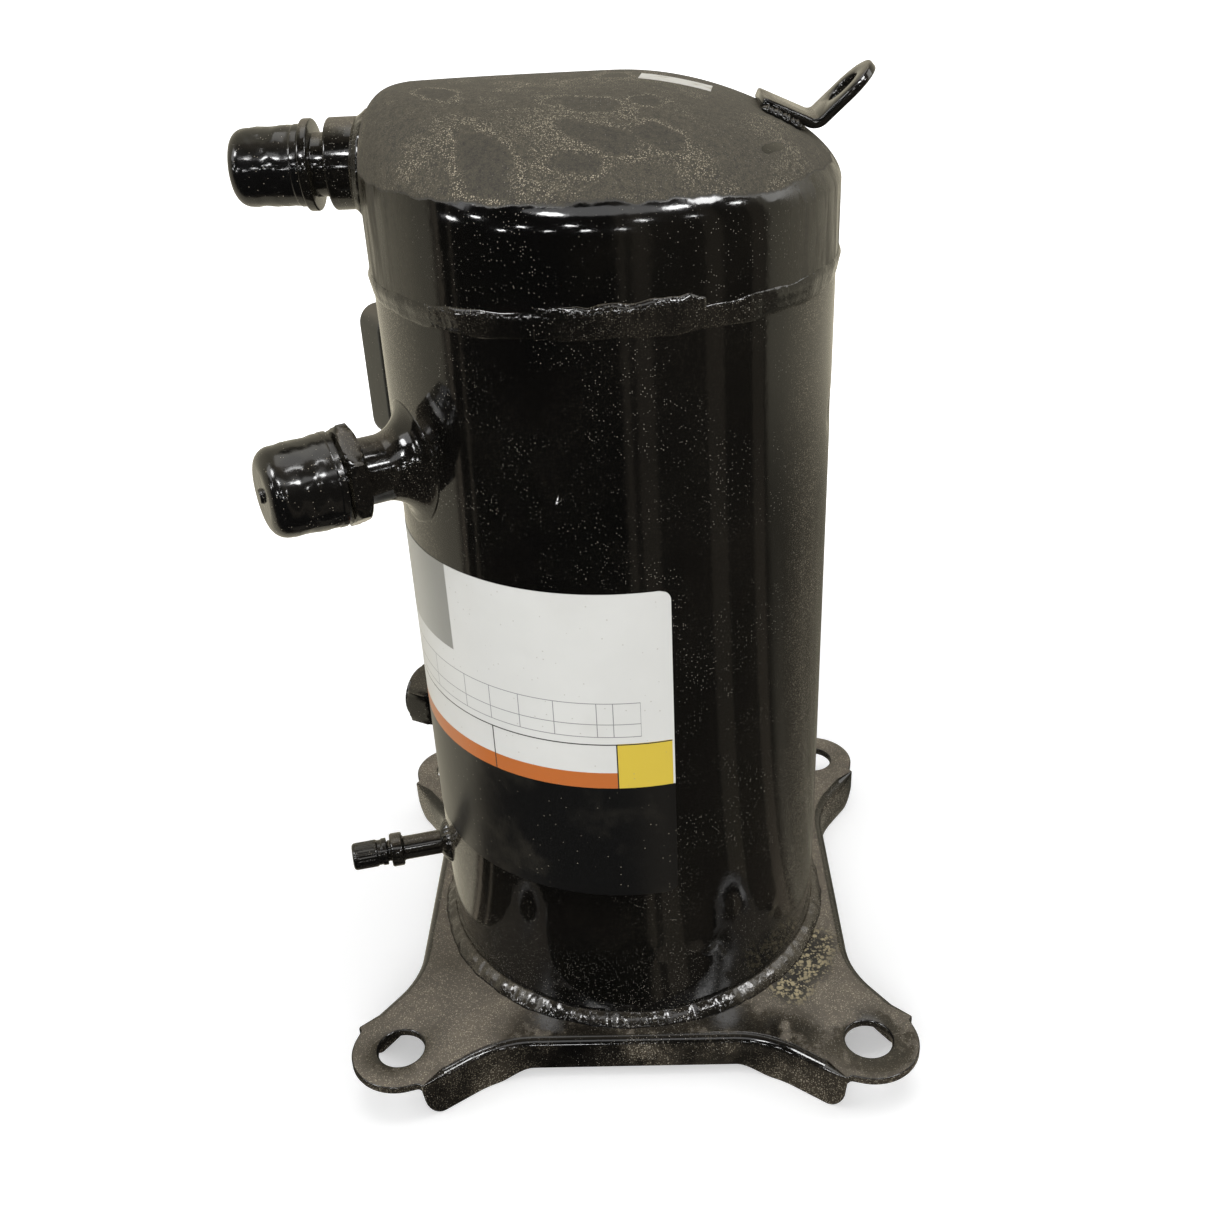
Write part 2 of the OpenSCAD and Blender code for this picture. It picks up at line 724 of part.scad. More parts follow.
module service_cap() {
    r_in = port_thread_r + seat;
    color([0.05, 0.05, 0.05]) radial(port_az, port_z) difference() {
        union() {
            bar(r_in + port_cap_wall, port_cap_at, port_cap_at + port_cap_l - chamfer);
            taper(r_in + port_cap_wall, r_in + port_cap_wall - chamfer, port_cap_at + port_cap_l - chamfer,
                port_cap_at + port_cap_l);
        }
        bar(r_in, port_cap_at - cut, port_cap_at + port_cap_l - port_cap_wall * 2);
    }
}

module sight_glass_boss() {
    color([0.09, 0.09, 0.09]) radial(sight_az, sight_z)
        ring(sight_bore_r, sight_boss_r, inner_r, shell_r + sight_boss_l);
}
module sight_glass_gasket() {
    color([0.15, 0.15, 0.15]) radial(sight_az, sight_z)
        ring(sight_bore_r, sight_boss_r + 1, shell_r + sight_boss_l, sight_body_at);
}
module sight_glass_body() {
    end = sight_body_at + sight_body_l;
    color([0.1, 0.1, 0.1]) radial(sight_az, sight_z) difference() {
        union() {
            hex(sight_hex, sight_body_at, end - 2);
            bar(sight_hex / 2 - 1, end - 2, end);
        }
        bar(sight_bore_r, sight_body_at - cut, end + cut);
        bar(sight_bore_r + sight_lip, end - sight_lens_t, end + cut);
    }
}
module sight_glass_lens() {
    end = sight_body_at + sight_body_l;
    color([0.75, 0.85, 0.85, 0.5]) radial(sight_az, sight_z)
        bar(sight_bore_r + sight_lip - fit, end - sight_lens_t, end - 0.6);
}

// A block with rounded vertical-to-wall edges, around the box's axis
module rounded_block(w, h, corner, from, to) {
    translate([0, 0, from]) linear_extrude(height = to - from) {
        square([h - 2 * corner, w], center = true);
        square([h, w - 2 * corner], center = true);
        for (sx = [-1, 1], sy = [-1, 1]) translate([sx * (h / 2 - corner), sy * (w / 2 - corner)])
            circle(r = corner);
    }
}
module terminal_box() {
    color([0.2, 0.2, 0.17]) difference() {
        radial(box_az, box_z) difference() {
            rounded_block(box_w, box_h, box_corner, box_back, box_split);
            rounded_block(box_w - 2 * box_t, box_h - 2 * box_t, box_corner - box_t, 0, box_split + cut);
            grommet_place() bar(grommet_r - 2, 0, box_h);
        }
        shell_space(seat);
    }
}
module grommet_place() {
    translate([0, 0, grommet_rho]) rotate([0, 90, 0]) children();
}
module cable_grommet() {
    wall = box_h / 2 - box_t;
    color([0.06, 0.06, 0.06]) radial(box_az, box_z) grommet_place() difference() {
        union() {
            bar(grommet_r - 2 - fit, wall - 1.5, wall + box_t + 1.5);
            bar(grommet_r, wall - 1.5, wall - fit);
            bar(grommet_r, wall + box_t + fit, wall + box_t + 1.5);
        }
        bar(grommet_r - 5, 0, box_h);
    }
}
module terminal_cover() {
    w = box_w + 2 * (seat + cover_t);
    h = box_h + 2 * (seat + cover_t);
    color([0.2, 0.2, 0.17]) radial(box_az, box_z) difference() {
        union() {
            rounded_block(w, h, box_corner + seat + cover_t, box_split - cover_lap, box_front - 2);
            rounded_block(w - 4, h - 4, box_corner, box_front - 2, box_front);
        }
        rounded_block(w - 2 * cover_t, h - 2 * cover_t, box_corner + seat, box_split - cover_lap - cut,
            box_split + seat);
        rounded_block(box_w - 8, box_h - 8, box_corner, box_split - cover_lap - cut, box_front - cover_t - 2);
    }
}
module terminal_cup() {
    color([0.5, 0.5, 0.5]) radial(box_az, box_z) difference() {
        bar(terminal_r, terminal_in, terminal_out);
        bar(terminal_r - 2.5, terminal_in + terminal_floor, terminal_out + cut);
        pin_places() bar(glass_r + fit, terminal_in - cut, terminal_out + cut);
    }
}
module pin_places() {
    for (k = [0:2]) rotate([0, 0, 120 * k + 60]) translate([terminal_pin_at, 0, 0]) children();
}
module terminal_pins() {
    color([0.75, 0.6, 0.4]) radial(box_az, box_z) pin_places() bar(terminal_pin_r, pin_in, pin_out);
}
module terminal_glass() {
    color([0.2, 0.35, 0.35]) radial(box_az, box_z) pin_places()
        ring(terminal_pin_r + fit, glass_r, terminal_in - 1, terminal_in + terminal_floor + 1.5);
}
module terminal_plug() {
    color([0.12, 0.12, 0.12]) radial(box_az, box_z) difference() {
        union() {
            bar(terminal_r - 3, terminal_in + terminal_floor + 1.7, plug_at);
            bar(plug_r, plug_at, plug_at + plug_l);
        }
        pin_places() bar(terminal_pin_r + fit, 0, pin_out + seat);
        pin_places() bar(glass_r + seat, 0, terminal_in + terminal_floor + 2);
    }
}

// Earth screw welded to the shell inside the box
ground_off = 19;
ground_r = 2.5;
ground_l = 6;
ground_hex = 8;
module ground_screw() {
    color([0.2, 0.5, 0.25]) difference() {
        radial(box_az + ground_off, box_z) {
            bar(ground_r, shell_r - 1, shell_r + ground_l);
            hex(ground_hex, shell_r + 2, shell_r + ground_l);
        }
        shell_space();
    }
}

module main_bearing_housing() {
    plate_low = housing_floor - housing_plate_t;
    color([0.5, 0.5, 0.5]) difference() {
        union() {
            bar(housing_hub_r, housing_low, plate_low + cut);
            taper(housing_hub_r, thrust_r, cavity_low - housing_cone, plate_low);
            bar(post_r + 2, plate_low, housing_floor);
            bar(thrust_r, plate_low, thrust_face);
            at_arms() {
                sector(post_r - 2, housing_rim_r, arm_half, plate_low, housing_floor);
                sector(post_r, housing_rim_r, arm_half, housing_floor - fit, post_top);
            }
        }
        bar(shaft_r + bush_t + run_gap + fit, housing_low - cut, thrust_face + cut);
        bar(cavity_r, cavity_low, thrust_face + cut);
        for (s = [0, 180]) rotate([0, 0, 90 + s])
            translate([oldham_in - orbit_e - 1, -key_w / 2 - orbit_e - 1, housing_floor - key_h - 1])
                cube([key_l + 2 * orbit_e + 2, key_w + 2 * orbit_e + 2, key_h + 2]);
        at_arms() translate([bolt_at, 0, 0]) bar(bolt_r + fit, thrust_face - bolt_bite - cut, post_top + cut);
    }
}
module main_bearing_bush() {
    color([0.6, 0.5, 0.3]) ring(shaft_r + run_gap, shaft_r + bush_t + run_gap, bush_low, bush_top);
}

module crankshaft() {
    color([0.62, 0.62, 0.64]) difference() {
        union() {
            bar(journal_r, shaft_low, shaft_step);
            bar(shaft_r, shaft_step, pin_base);
            translate([orbit_e, 0, 0]) bar(pin_r, pin_base, pin_top);
        }
        bar(oil_bore_r, shaft_low - cut, motor_top);
        translate([orbit_e, 0, 0]) bar(oil_riser_r, motor_top - 5, pin_top + cut);
    }
}

// A half-disc weight on the shaft, turned to one side
module counterweight(r, from, to, az) {
    difference() {
        union() {
            bar(shaft_r + 5, from, to);
            rotate([0, 0, az]) sector(shaft_r + 2, r, weight_half, from + hub_step, to - hub_step);
        }
        bar(shaft_r + fit, from - cut, to + cut);
    }
}
module upper_counterweight() {
    color([0.55, 0.5, 0.4]) counterweight(weight_r, upper_weight_z, upper_weight_z + weight_h, 180);
}
module lower_counterweight() {
    color([0.55, 0.5, 0.4]) counterweight(rotor_r - 4, lower_weight_z, lower_weight_z + weight_h, 0);
}
module drive_bushing() {
    color([0.68, 0.68, 0.7]) translate([orbit_e, 0, 0])
        ring(pin_r + run_gap, hub_bearing_r - run_gap, pin_base + seat, pin_top);
}
module hub_bearing() {
    color([0.6, 0.5, 0.3]) translate([orbit_e, 0, 0])
        ring(hub_bearing_r, hub_bearing_r + bush_t, hub_low, orbit_low - 1);
}
module orbiting_scroll() {
    color([0.66, 0.66, 0.66]) translate([orbit_e, 0, 0]) difference() {
        union() {
            bar(orbit_r, orbit_low, orbit_top);
            bar(hub_r, hub_low, orbit_low + fit);
            wrap(orbit_top - fit, orbit_top + wrap_h);
        }
        bar(hub_bearing_r + bush_t + fit, hub_low - cut, orbit_low - 1 + fit);
        for (s = [0, 180]) rotate([0, 0, s])
            translate([oldham_in - seat, -key_w / 2 - fit, orbit_low - cut])
                cube([key_l + cut * 3, key_w + 2 * fit, cut + key_h - oldham_gap + seat]);
    }
}
module oldham_ring() {
    top = oldham_low + oldham_t;
    color([0.8, 0.8, 0.82]) translate([orbit_e, 0, 0]) {
        ring(oldham_in, oldham_out, oldham_low, top);
        for (s = [0, 180]) {
            rotate([0, 0, s]) key(top - fit, top + key_h);
            rotate([0, 0, 90 + s]) key(oldham_low - key_h, oldham_low + fit);
        }
    }
}
module key(from, to) {
    translate([oldham_in + 1, -key_w / 2, from]) cube([key_l - 2, key_w, to - from]);
}

gas_port_at = [3, 2];
fixed_port_r = 4;
module fixed_scroll() {
    color([0.58, 0.58, 0.58]) difference() {
        union() {
            bar(fixed_r, fixed_face, fixed_plate_top);
            ring(fixed_wall_r, fixed_r, fixed_low, fixed_face + fit);
            rotate([0, 0, 180]) wrap(fixed_low, fixed_face + fit);
            ring(recess_out, recess_out + recess_wall, fixed_plate_top - fit, fixed_top);
            bar(recess_in, fixed_plate_top - fit, fixed_top);
            at_arms() {
                translate([bolt_at, 0, 0]) bar(fixed_ear_r, fixed_low, fixed_low + fixed_ear_h);
                translate([fixed_r - 3, -fixed_ear_r, fixed_low])
                    cube([bolt_at - fixed_r + 3, 2 * fixed_ear_r, fixed_ear_h]);
            }
        }
        translate(gas_port_at) bar(fixed_port_r, fixed_face - fit, fixed_top + cut);
        at_arms() translate([bolt_at, 0, 0]) bar(sleeve_r + run_gap * 2, fixed_low - cut, sleeve_top);
        for (s = [0, 180]) rotate([0, 0, suction_az + s])
            translate([fixed_wall_r - 2, -inlet_w / 2, fixed_low - cut])
                cube([fixed_r - fixed_wall_r + 11, inlet_w, wrap_h - 3 + cut]);
    }
}
module scroll_bolts() {
    color([0.3, 0.3, 0.32]) at_arms() translate([bolt_at, 0, 0]) {
        bar(bolt_r, thrust_face - bolt_bite, sleeve_top + cut);
        hex(bolt_hex, sleeve_top, sleeve_top + bolt_head_h);
    }
}
module bolt_sleeves() {
    color([0.7, 0.7, 0.72]) at_arms() translate([bolt_at, 0, 0]) ring(bolt_r + fit, sleeve_r, post_top, sleeve_top);
}

module floating_seal_lower() {
    top = seal_low + seal_plate_t;
    color([0.6, 0.6, 0.62]) {
        ring(recess_in + 2, recess_out - 2, seal_low, top);
        ring(seal_neck_in, seal_neck_out, top - fit, top + seal_web_t);
    }
}
module floating_seal_upper() {
    low = seal_low + seal_plate_t + seal_web_t;
    color([0.65, 0.65, 0.67]) {
        ring(recess_in + 2, recess_out - 2, low, low + seal_upper_t);
        ring(seal_neck_in - 5, seal_neck_in, low + seal_upper_t - fit, seal_top);
    }
}
module seal_rings() {
    web = seal_low + seal_plate_t;
    color([0.85, 0.83, 0.75]) {
        rotate_extrude() polygon([[recess_in + run_gap, seal_low], [recess_in + seal_lip_t, seal_low],
            [recess_in + seal_lip_t, web], [seal_neck_in - 1, web], [seal_neck_in - 1, web + seal_web_t],
            [recess_in + run_gap, web + seal_web_t]]);
        rotate_extrude() polygon([[recess_out - run_gap, seal_low], [recess_out - run_gap, web + seal_web_t],
            [seal_neck_out + 1, web + seal_web_t], [seal_neck_out + 1, web], [recess_out - seal_lip_t, web],
            [recess_out - seal_lip_t, seal_low]]);
    }
}

module rotor_core() {
    color([0.45, 0.45, 0.48]) ring(shaft_r + fit, rotor_r, motor_z, motor_top);
}
module rotor_end_rings() {
    color([0.8, 0.8, 0.82]) {
        ring(rotor_r * end_ring_share, rotor_r - 1, motor_z - end_ring_h, motor_z);
        ring(rotor_r * end_ring_share, rotor_r - 1, motor_top, motor_top + end_ring_h);
    }
}
module stator_core() {
    color([0.4, 0.4, 0.43]) difference() {
        bar(inner_r - fit, motor_z, motor_top);
        bar(rotor_r + air_gap, motor_z - cut, motor_top + cut);
        for (k = [0:slots - 1]) rotate([0, 0, 360 * k / slots])
            translate([slot_start, -slot_w / 2, motor_z - cut]) cube([slot_l, slot_w, stack_h + 2 * cut]);
        for (k = [0:3]) rotate([0, 0, 90 * k + 45])
            translate([stator_flat, -inner_r / 2, motor_z - cut]) cube([inner_r, inner_r, stack_h + 2 * cut]);
    }
}
module winding(from, to) {
    rim = 3;
    rotate_extrude() polygon([[winding_in, from], [winding_out, from], [winding_out, to - rim],
        [winding_out - rim, to], [winding_in + rim, to], [winding_in, to - rim]]);
}
module upper_winding() {
    color([0.65, 0.35, 0.15]) difference() {
        winding(motor_top, motor_top + winding_h);
        protector_place() cube([protector[0] + 2 * seat, protector[1] + 2 * seat, protector[2] * 2], center = true);
    }
}
module lower_winding() {
    color([0.65, 0.35, 0.15]) translate([0, 0, motor_z]) mirror([0, 0, 1]) winding(0, winding_h);
}
protector = [11, 24, 8];
module protector_place() {
    rotate([0, 0, 30]) translate([(winding_in + winding_out) / 2, 0, motor_top + winding_h - protector[2] / 2])
        children();
}
module motor_protector() {
    color([0.3, 0.3, 0.32]) protector_place() translate([0, 0, -protector[2] / 2 + seat])
        cube(protector, center = true);
}

bracket_leg_w = 22;
bracket_leg_az = -68;
bracket_reach = sqrt(pow(housing_rim_r, 2) - pow(bracket_leg_w / 2, 2));
module lower_bearing_bracket() {
    color([0.48, 0.48, 0.5]) difference() {
        union() {
            bar(bracket_hub_r, bracket_hub_low, bracket_hub_top);
            for (k = [0:2]) rotate([0, 0, 120 * k + bracket_leg_az])
                translate([journal_r, -bracket_leg_w / 2, bracket_z])
                    cube([bracket_reach - journal_r, bracket_leg_w, bracket_t]);
        }
        bar(journal_r + bush_t + run_gap + fit, bracket_floor, bracket_hub_top + cut);
        bar(oil_bore_r + pickup_gap, bracket_hub_low - cut, bracket_z);
    }
}
module lower_bearing_bush() {
    color([0.6, 0.5, 0.3]) ring(journal_r + run_gap, journal_r + bush_t + run_gap, shaft_low, bracket_hub_top);
}
module thrust_disc() {
    color([0.7, 0.7, 0.7])
        ring(oil_bore_r + pickup_gap, journal_r + bush_t, bracket_floor, bracket_floor + disc_t);
}
module oil_pickup() {
    color([0.7, 0.68, 0.6]) ring(oil_bore_r - 1.2, oil_bore_r - fit, shaft_low - pickup_l, shaft_low + pickup_l / 3);
}

magnet_r = 11;
magnet_h = 5;
module sump_magnet() {
    low = bottom_z + bottom_t + 0.5;
    color([0.25, 0.25, 0.26]) bar(magnet_r, low, low + magnet_h);
}

base_plate();
base_weld();
bottom_cap();
center_shell();
seam_weld();
top_cap();
muffler_plate();
relief_valve();
lifting_lug();
suction_spigot();
suction_cap();
suction_baffle();
discharge_spigot();
discharge_cap();
check_valve_seat();
check_valve_disc();
check_valve_stop();
service_port();
valve_core();
valve_core_pin();
service_cap();
sight_glass_boss();
sight_glass_body();
sight_glass_lens();
sight_glass_gasket();
terminal_box();
terminal_cover();
terminal_cup();
terminal_pins();
terminal_glass();
terminal_plug();
cable_grommet();
ground_screw();
main_bearing_housing();
main_bearing_bush();
crankshaft();
upper_counterweight();
lower_counterweight();
drive_bushing();
hub_bearing();
orbiting_scroll();
oldham_ring();
fixed_scroll();
scroll_bolts();
bolt_sleeves();
floating_seal_lower();
floating_seal_upper();
seal_rings();
rotor_core();
rotor_end_rings();
stator_core();
upper_winding();
lower_winding();
motor_protector();
lower_bearing_bracket();
lower_bearing_bush();
thrust_disc();
oil_pickup();
sump_magnet();
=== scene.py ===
import json
import math
from functools import partial
import bmesh
import bpy
import numpy as np
from mathutils import Matrix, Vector
from mathutils.geometry import delaunay_2d_cdt


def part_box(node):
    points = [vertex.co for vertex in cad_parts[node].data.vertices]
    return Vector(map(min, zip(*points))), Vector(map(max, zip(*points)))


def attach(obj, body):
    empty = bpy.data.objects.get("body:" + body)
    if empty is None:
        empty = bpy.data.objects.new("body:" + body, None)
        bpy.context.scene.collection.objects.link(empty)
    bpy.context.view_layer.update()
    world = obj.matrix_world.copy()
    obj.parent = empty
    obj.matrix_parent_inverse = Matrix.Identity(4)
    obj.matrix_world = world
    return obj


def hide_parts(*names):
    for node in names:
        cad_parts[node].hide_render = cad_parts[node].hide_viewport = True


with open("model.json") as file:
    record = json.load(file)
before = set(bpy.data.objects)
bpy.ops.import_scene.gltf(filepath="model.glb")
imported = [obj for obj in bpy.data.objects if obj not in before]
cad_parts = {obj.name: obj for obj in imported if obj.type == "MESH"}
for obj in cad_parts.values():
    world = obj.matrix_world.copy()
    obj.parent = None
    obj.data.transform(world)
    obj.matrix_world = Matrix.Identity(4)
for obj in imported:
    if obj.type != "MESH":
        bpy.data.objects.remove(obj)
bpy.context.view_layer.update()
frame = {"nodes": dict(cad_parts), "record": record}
print("frame loaded:", len(frame["nodes"]), "solids")

tau = 2 * math.pi


def linear(hexColour):  # sRGB hex to the linear colour a shader wants
    c = np.array([int(hexColour[i:i + 2], 16) for i in (1, 3, 5)]) / 255
    c = np.where(c <= 0.04045, c / 12.92, ((c + 0.055) / 1.055) ** 2.4)
    return (*c.tolist(), 1.0)


# a node's output, which can be worked with like a number: | is the greater of two and & the lesser
class signal:
    def __init__(self, node, out=0):
        self.node, self.out = node, out

    def other(self, out):  # another output of the same node
        return signal(self.node, out)

    def fill(self, sockets):  # values or links for the node's own sockets
        for key, value in sockets.items():
            if isinstance(value, signal):
                self.node.id_data.links.new(value.node.outputs[value.out], self.node.inputs[key])
            else:
                self.node.inputs[key].default_value = value

    def worked(self, operation, *values):
        return put(self.node.id_data, "Math", *values, operation=operation)

    def __add__(a, b): return a.worked("ADD", a, b)
    def __radd__(a, b): return a.worked("ADD", a, b)
    def __sub__(a, b): return a.worked("SUBTRACT", a, b)
    def __rsub__(a, b): return a.worked("SUBTRACT", b, a)
    def __mul__(a, b): return a.worked("MULTIPLY", a, b)
    def __truediv__(a, b): return a.worked("DIVIDE", a, b)
    def __or__(a, b): return a.worked("MAXIMUM", a, b)
    def __and__(a, b): return a.worked("MINIMUM", a, b)
    def __lt__(a, b): return a.worked("LESS_THAN", a, b)
    def __gt__(a, b): return a.worked("GREATER_THAN", a, b)
    def __abs__(a): return a.worked("ABSOLUTE", a)


# what these kinds always have here: settings, the sockets that values fill in turn, and the output
usual = {"Mix": ({"data_type": "RGBA"}, (0, 6, 7), 2),
         "MapRange": ({"interpolation_type": "SMOOTHSTEP"}, range(5), 0)}


# adds one node: values fill its sockets in turn, names with a capital fill the sockets so called, the rest are settings
def put(tree, kind, *values, out=None, **more):
    settings, places, first = usual.get(kind, ({}, range(9), 0))
    node = tree.nodes.new("ShaderNode" + kind)
    named = {key: value for key, value in more.items() if key[0].isupper()}
    for key, value in {**settings, **more}.items():
        if key not in named:
            setattr(node, key, value)
    made = signal(node, first if out is None else out)
    made.fill({**dict(zip(places, values)), **named})
    return made


def cleared(owner):  # empties the nodes of a material or a world; comes back as the function that adds to them
    owner.use_nodes = True
    owner.node_tree.nodes.clear()
    return partial(put, owner.node_tree)


def blank(name):
    material = bpy.data.materials.new(name)
    add = cleared(material)
    skin = add("BsdfPrincipled")
    add("OutputMaterial", skin)
    return material, add, skin


# Pattern scales are counted per metre, so a pattern of s millimetres has scale 1000 / s: clouds of dust 45 mm (22),
# patches 25 mm (40), orange peel 2.4 mm (420), dust grains 0.4 to 1 mm (2400 to 950). Real grains are finer still;
# they are drawn this coarse so that they show.


# separate grains: small round dots, one to a cell, of which only a share is kept
def dots(add, where, scale, size, share):
    cells = add("TexVoronoi", Vector=where, Scale=scale)
    spread = 1.0 - add("MapRange", cells.other("Distance"), size * 0.55, size)
    return spread * (add("SeparateColor", cells.other("Color")) < share)


def objectPoint(add, scale=(1, 1, 1), turn=(0, 0, 0)):
    return add("Mapping", add("TexCoord", out="Object"), (0, 0, 0), turn, scale)


# distance of the point from a place, as a soft spot: 1 inside, 0 outside
def spot(add, centre, near, far):
    gap = add("VectorMath", add("TexCoord", out="Object"), centre, operation="DISTANCE", out="Value")
    return add("MapRange", gap, near, far, 1.0, 0.0)


# dust gives a faint pale bloom at grazing angles
dustBloom = {"Sheen Roughness": 0.4, "Sheen Tint": linear("#c9bd9f")}


# Gloss black enamel: deep black with orange peel, a thin dust film, bright grit and fine rubbed lines; grainy dust
# lies where the face is level, more grit near the floor, and clods of yellow dirt at the places given
def enamel(name, film=0.02, specks=0.5, heavy=0.0, level=(0.72, 0.97), rubbed=0.2, rough=0.1, low=0.0, sheen=0.0,
           lumps=0.0, bends=0.0, flankDustAndSheen=0.0, clean=(), dirt=()):
    material, add, skin = blank(name)
    where = objectPoint(add)
    cloud = add("TexNoise", Vector=where, Scale=22, Detail=4, Roughness=0.6, Distortion=0.4)
    fine = add("TexNoise", Vector=where, Scale=2400, Detail=3, Roughness=0.7)
    grains = dots(add, where, 1700, 0.42, 0.5) | dots(add, where, 950, 0.34, 0.3)
    patches = add("TexNoise", Vector=where, Scale=40, Detail=5, Roughness=0.65, Distortion=0.6)
    patchy = add("MapRange", patches, 0.34, 0.62, 0.5, 1.05, interpolation_type="LINEAR")
    dust = patchy * add("MapRange", cloud, 0.30, 0.72) * film
    # a paler film on both sides as seen: partly dust, partly painted sheen standing in for the pale hall mirrored at
    # grazing angles
    if flankDustAndSheen:
        aside = add("MapRange", abs(add("SeparateXYZ", where, out=0)), 0.056, 0.074)
        dust = dust | aside * patchy * flankDustAndSheen
    dust = dust * (0.55 + grains * 0.9)
    if heavy:  # where the face is level, but rubbed off along the bends
        up = add("SeparateXYZ", add("NewGeometry", out="Normal"), out=2)
        dust = dust | add("MapRange", up, *level) * heavy * patchy
        edge = add("MapRange", up, 0.40, 0.55) * (1.0 - add("MapRange", up, 0.93, 0.985))
        dust = dust * (1.0 - edge * bends)
    for centre, near, far in clean:
        ragged = add("TexNoise", Vector=where, Scale=90, Detail=4, Roughness=0.6)
        gone = spot(add, centre, near, far) * add("MapRange", ragged, 0.30, 0.52)
        dust = dust * (1.0 - gone * 0.8)
    drifts = add("TexNoise", Vector=where, Scale=34, Detail=4, Roughness=0.7, Distortion=0.5)
    grit = dots(add, where, 1500, 0.26, 0.24) | dots(add, where, 800, 0.17, 0.10)
    grit = grit * add("MapRange", drifts, 0.44, 0.62)
    if low:
        near = add("MapRange", add("SeparateXYZ", where, out=2), 0.022, 0.070, low, 0.0)
        grit = grit | near * dots(add, where, 1400, 0.30, 0.35)
    grit = grit * specks
    strokes = objectPoint(add, (240, 240, 9000), (0.15, 0.1, 0))
    lines = add("TexNoise", Vector=strokes, Scale=1, Detail=2, Roughness=0.5, Distortion=0.6)
    lines = add("MapRange", lines, 0.72, 0.80) * rubbed
    tone = add("Mix", fine, linear("#565041"), linear("#83786a"))
    tone = add("Mix", grains * 0.9, tone, linear("#b8ad96"))
    base = add("Mix", dust, linear("#050505"), tone)
    base = add("Mix", lines * 0.25, base, linear("#6a665c"))
    base = add("Mix", grit, base, linear("#b3ada0"))
    for centre, near, far in dirt:
        here = spot(add, centre, near, far)
        base = add("Mix", here * 0.85, base, linear("#100f0b"))
        heaps = add("TexNoise", Vector=where, Scale=240, Detail=3, Roughness=0.65)
        lot = dots(add, where, 480, 0.62, 0.75) | dots(add, where, 900, 0.55, 0.6)
        clods = here * add("MapRange", heaps, 0.40, 0.50) * lot
        base = add("Mix", clods, base, add("Mix", fine, linear("#7d7252"), linear("#cfc09a")))
        dust = dust | clods
    dull = add("MapRange", dust, 0.25, 0.75, rough, 0.8, interpolation_type="LINEAR")
    high = add("TexNoise", Vector=where, Scale=420, Detail=1) * 0.25 + (fine + grains) * dust
    if lumps:
        high = high + add("MapRange", add("TexNoise", Vector=where, Scale=520), 0.5, 0.75) * (lumps * 3)
    skin.fill({"Base Color": base, "Roughness": (dull + (grit + lines) * 0.3) & 1.0, "Sheen Weight": sheen, **dustBloom,
               "Normal": add("Bump", Strength=0.14, Distance=0.0006, Height=high)})
    return material


# wipe marks on the cap's top: middle, half length, half width in millimetres and turn in degrees
wipes = {"smooth": [(2.2, -59.0, 15.5, 6.2, -34), (-4.8, -69.4, 10.5, 4.4, -8), (21.5, -57.8, 9.0, 6.5, -48),
                    (-34.0, -61.0, 18.5, 9.0, -59), (-2.3, -37.4, 15.0, 6.0, -28), (-50.0, -19.0, 10.0, 6.0, -50),
                    (18.0, -35.0, 6.0, 4.5, 0)],
         "bare": (56.0, -43.5, 9.0, 1.6, 54)}
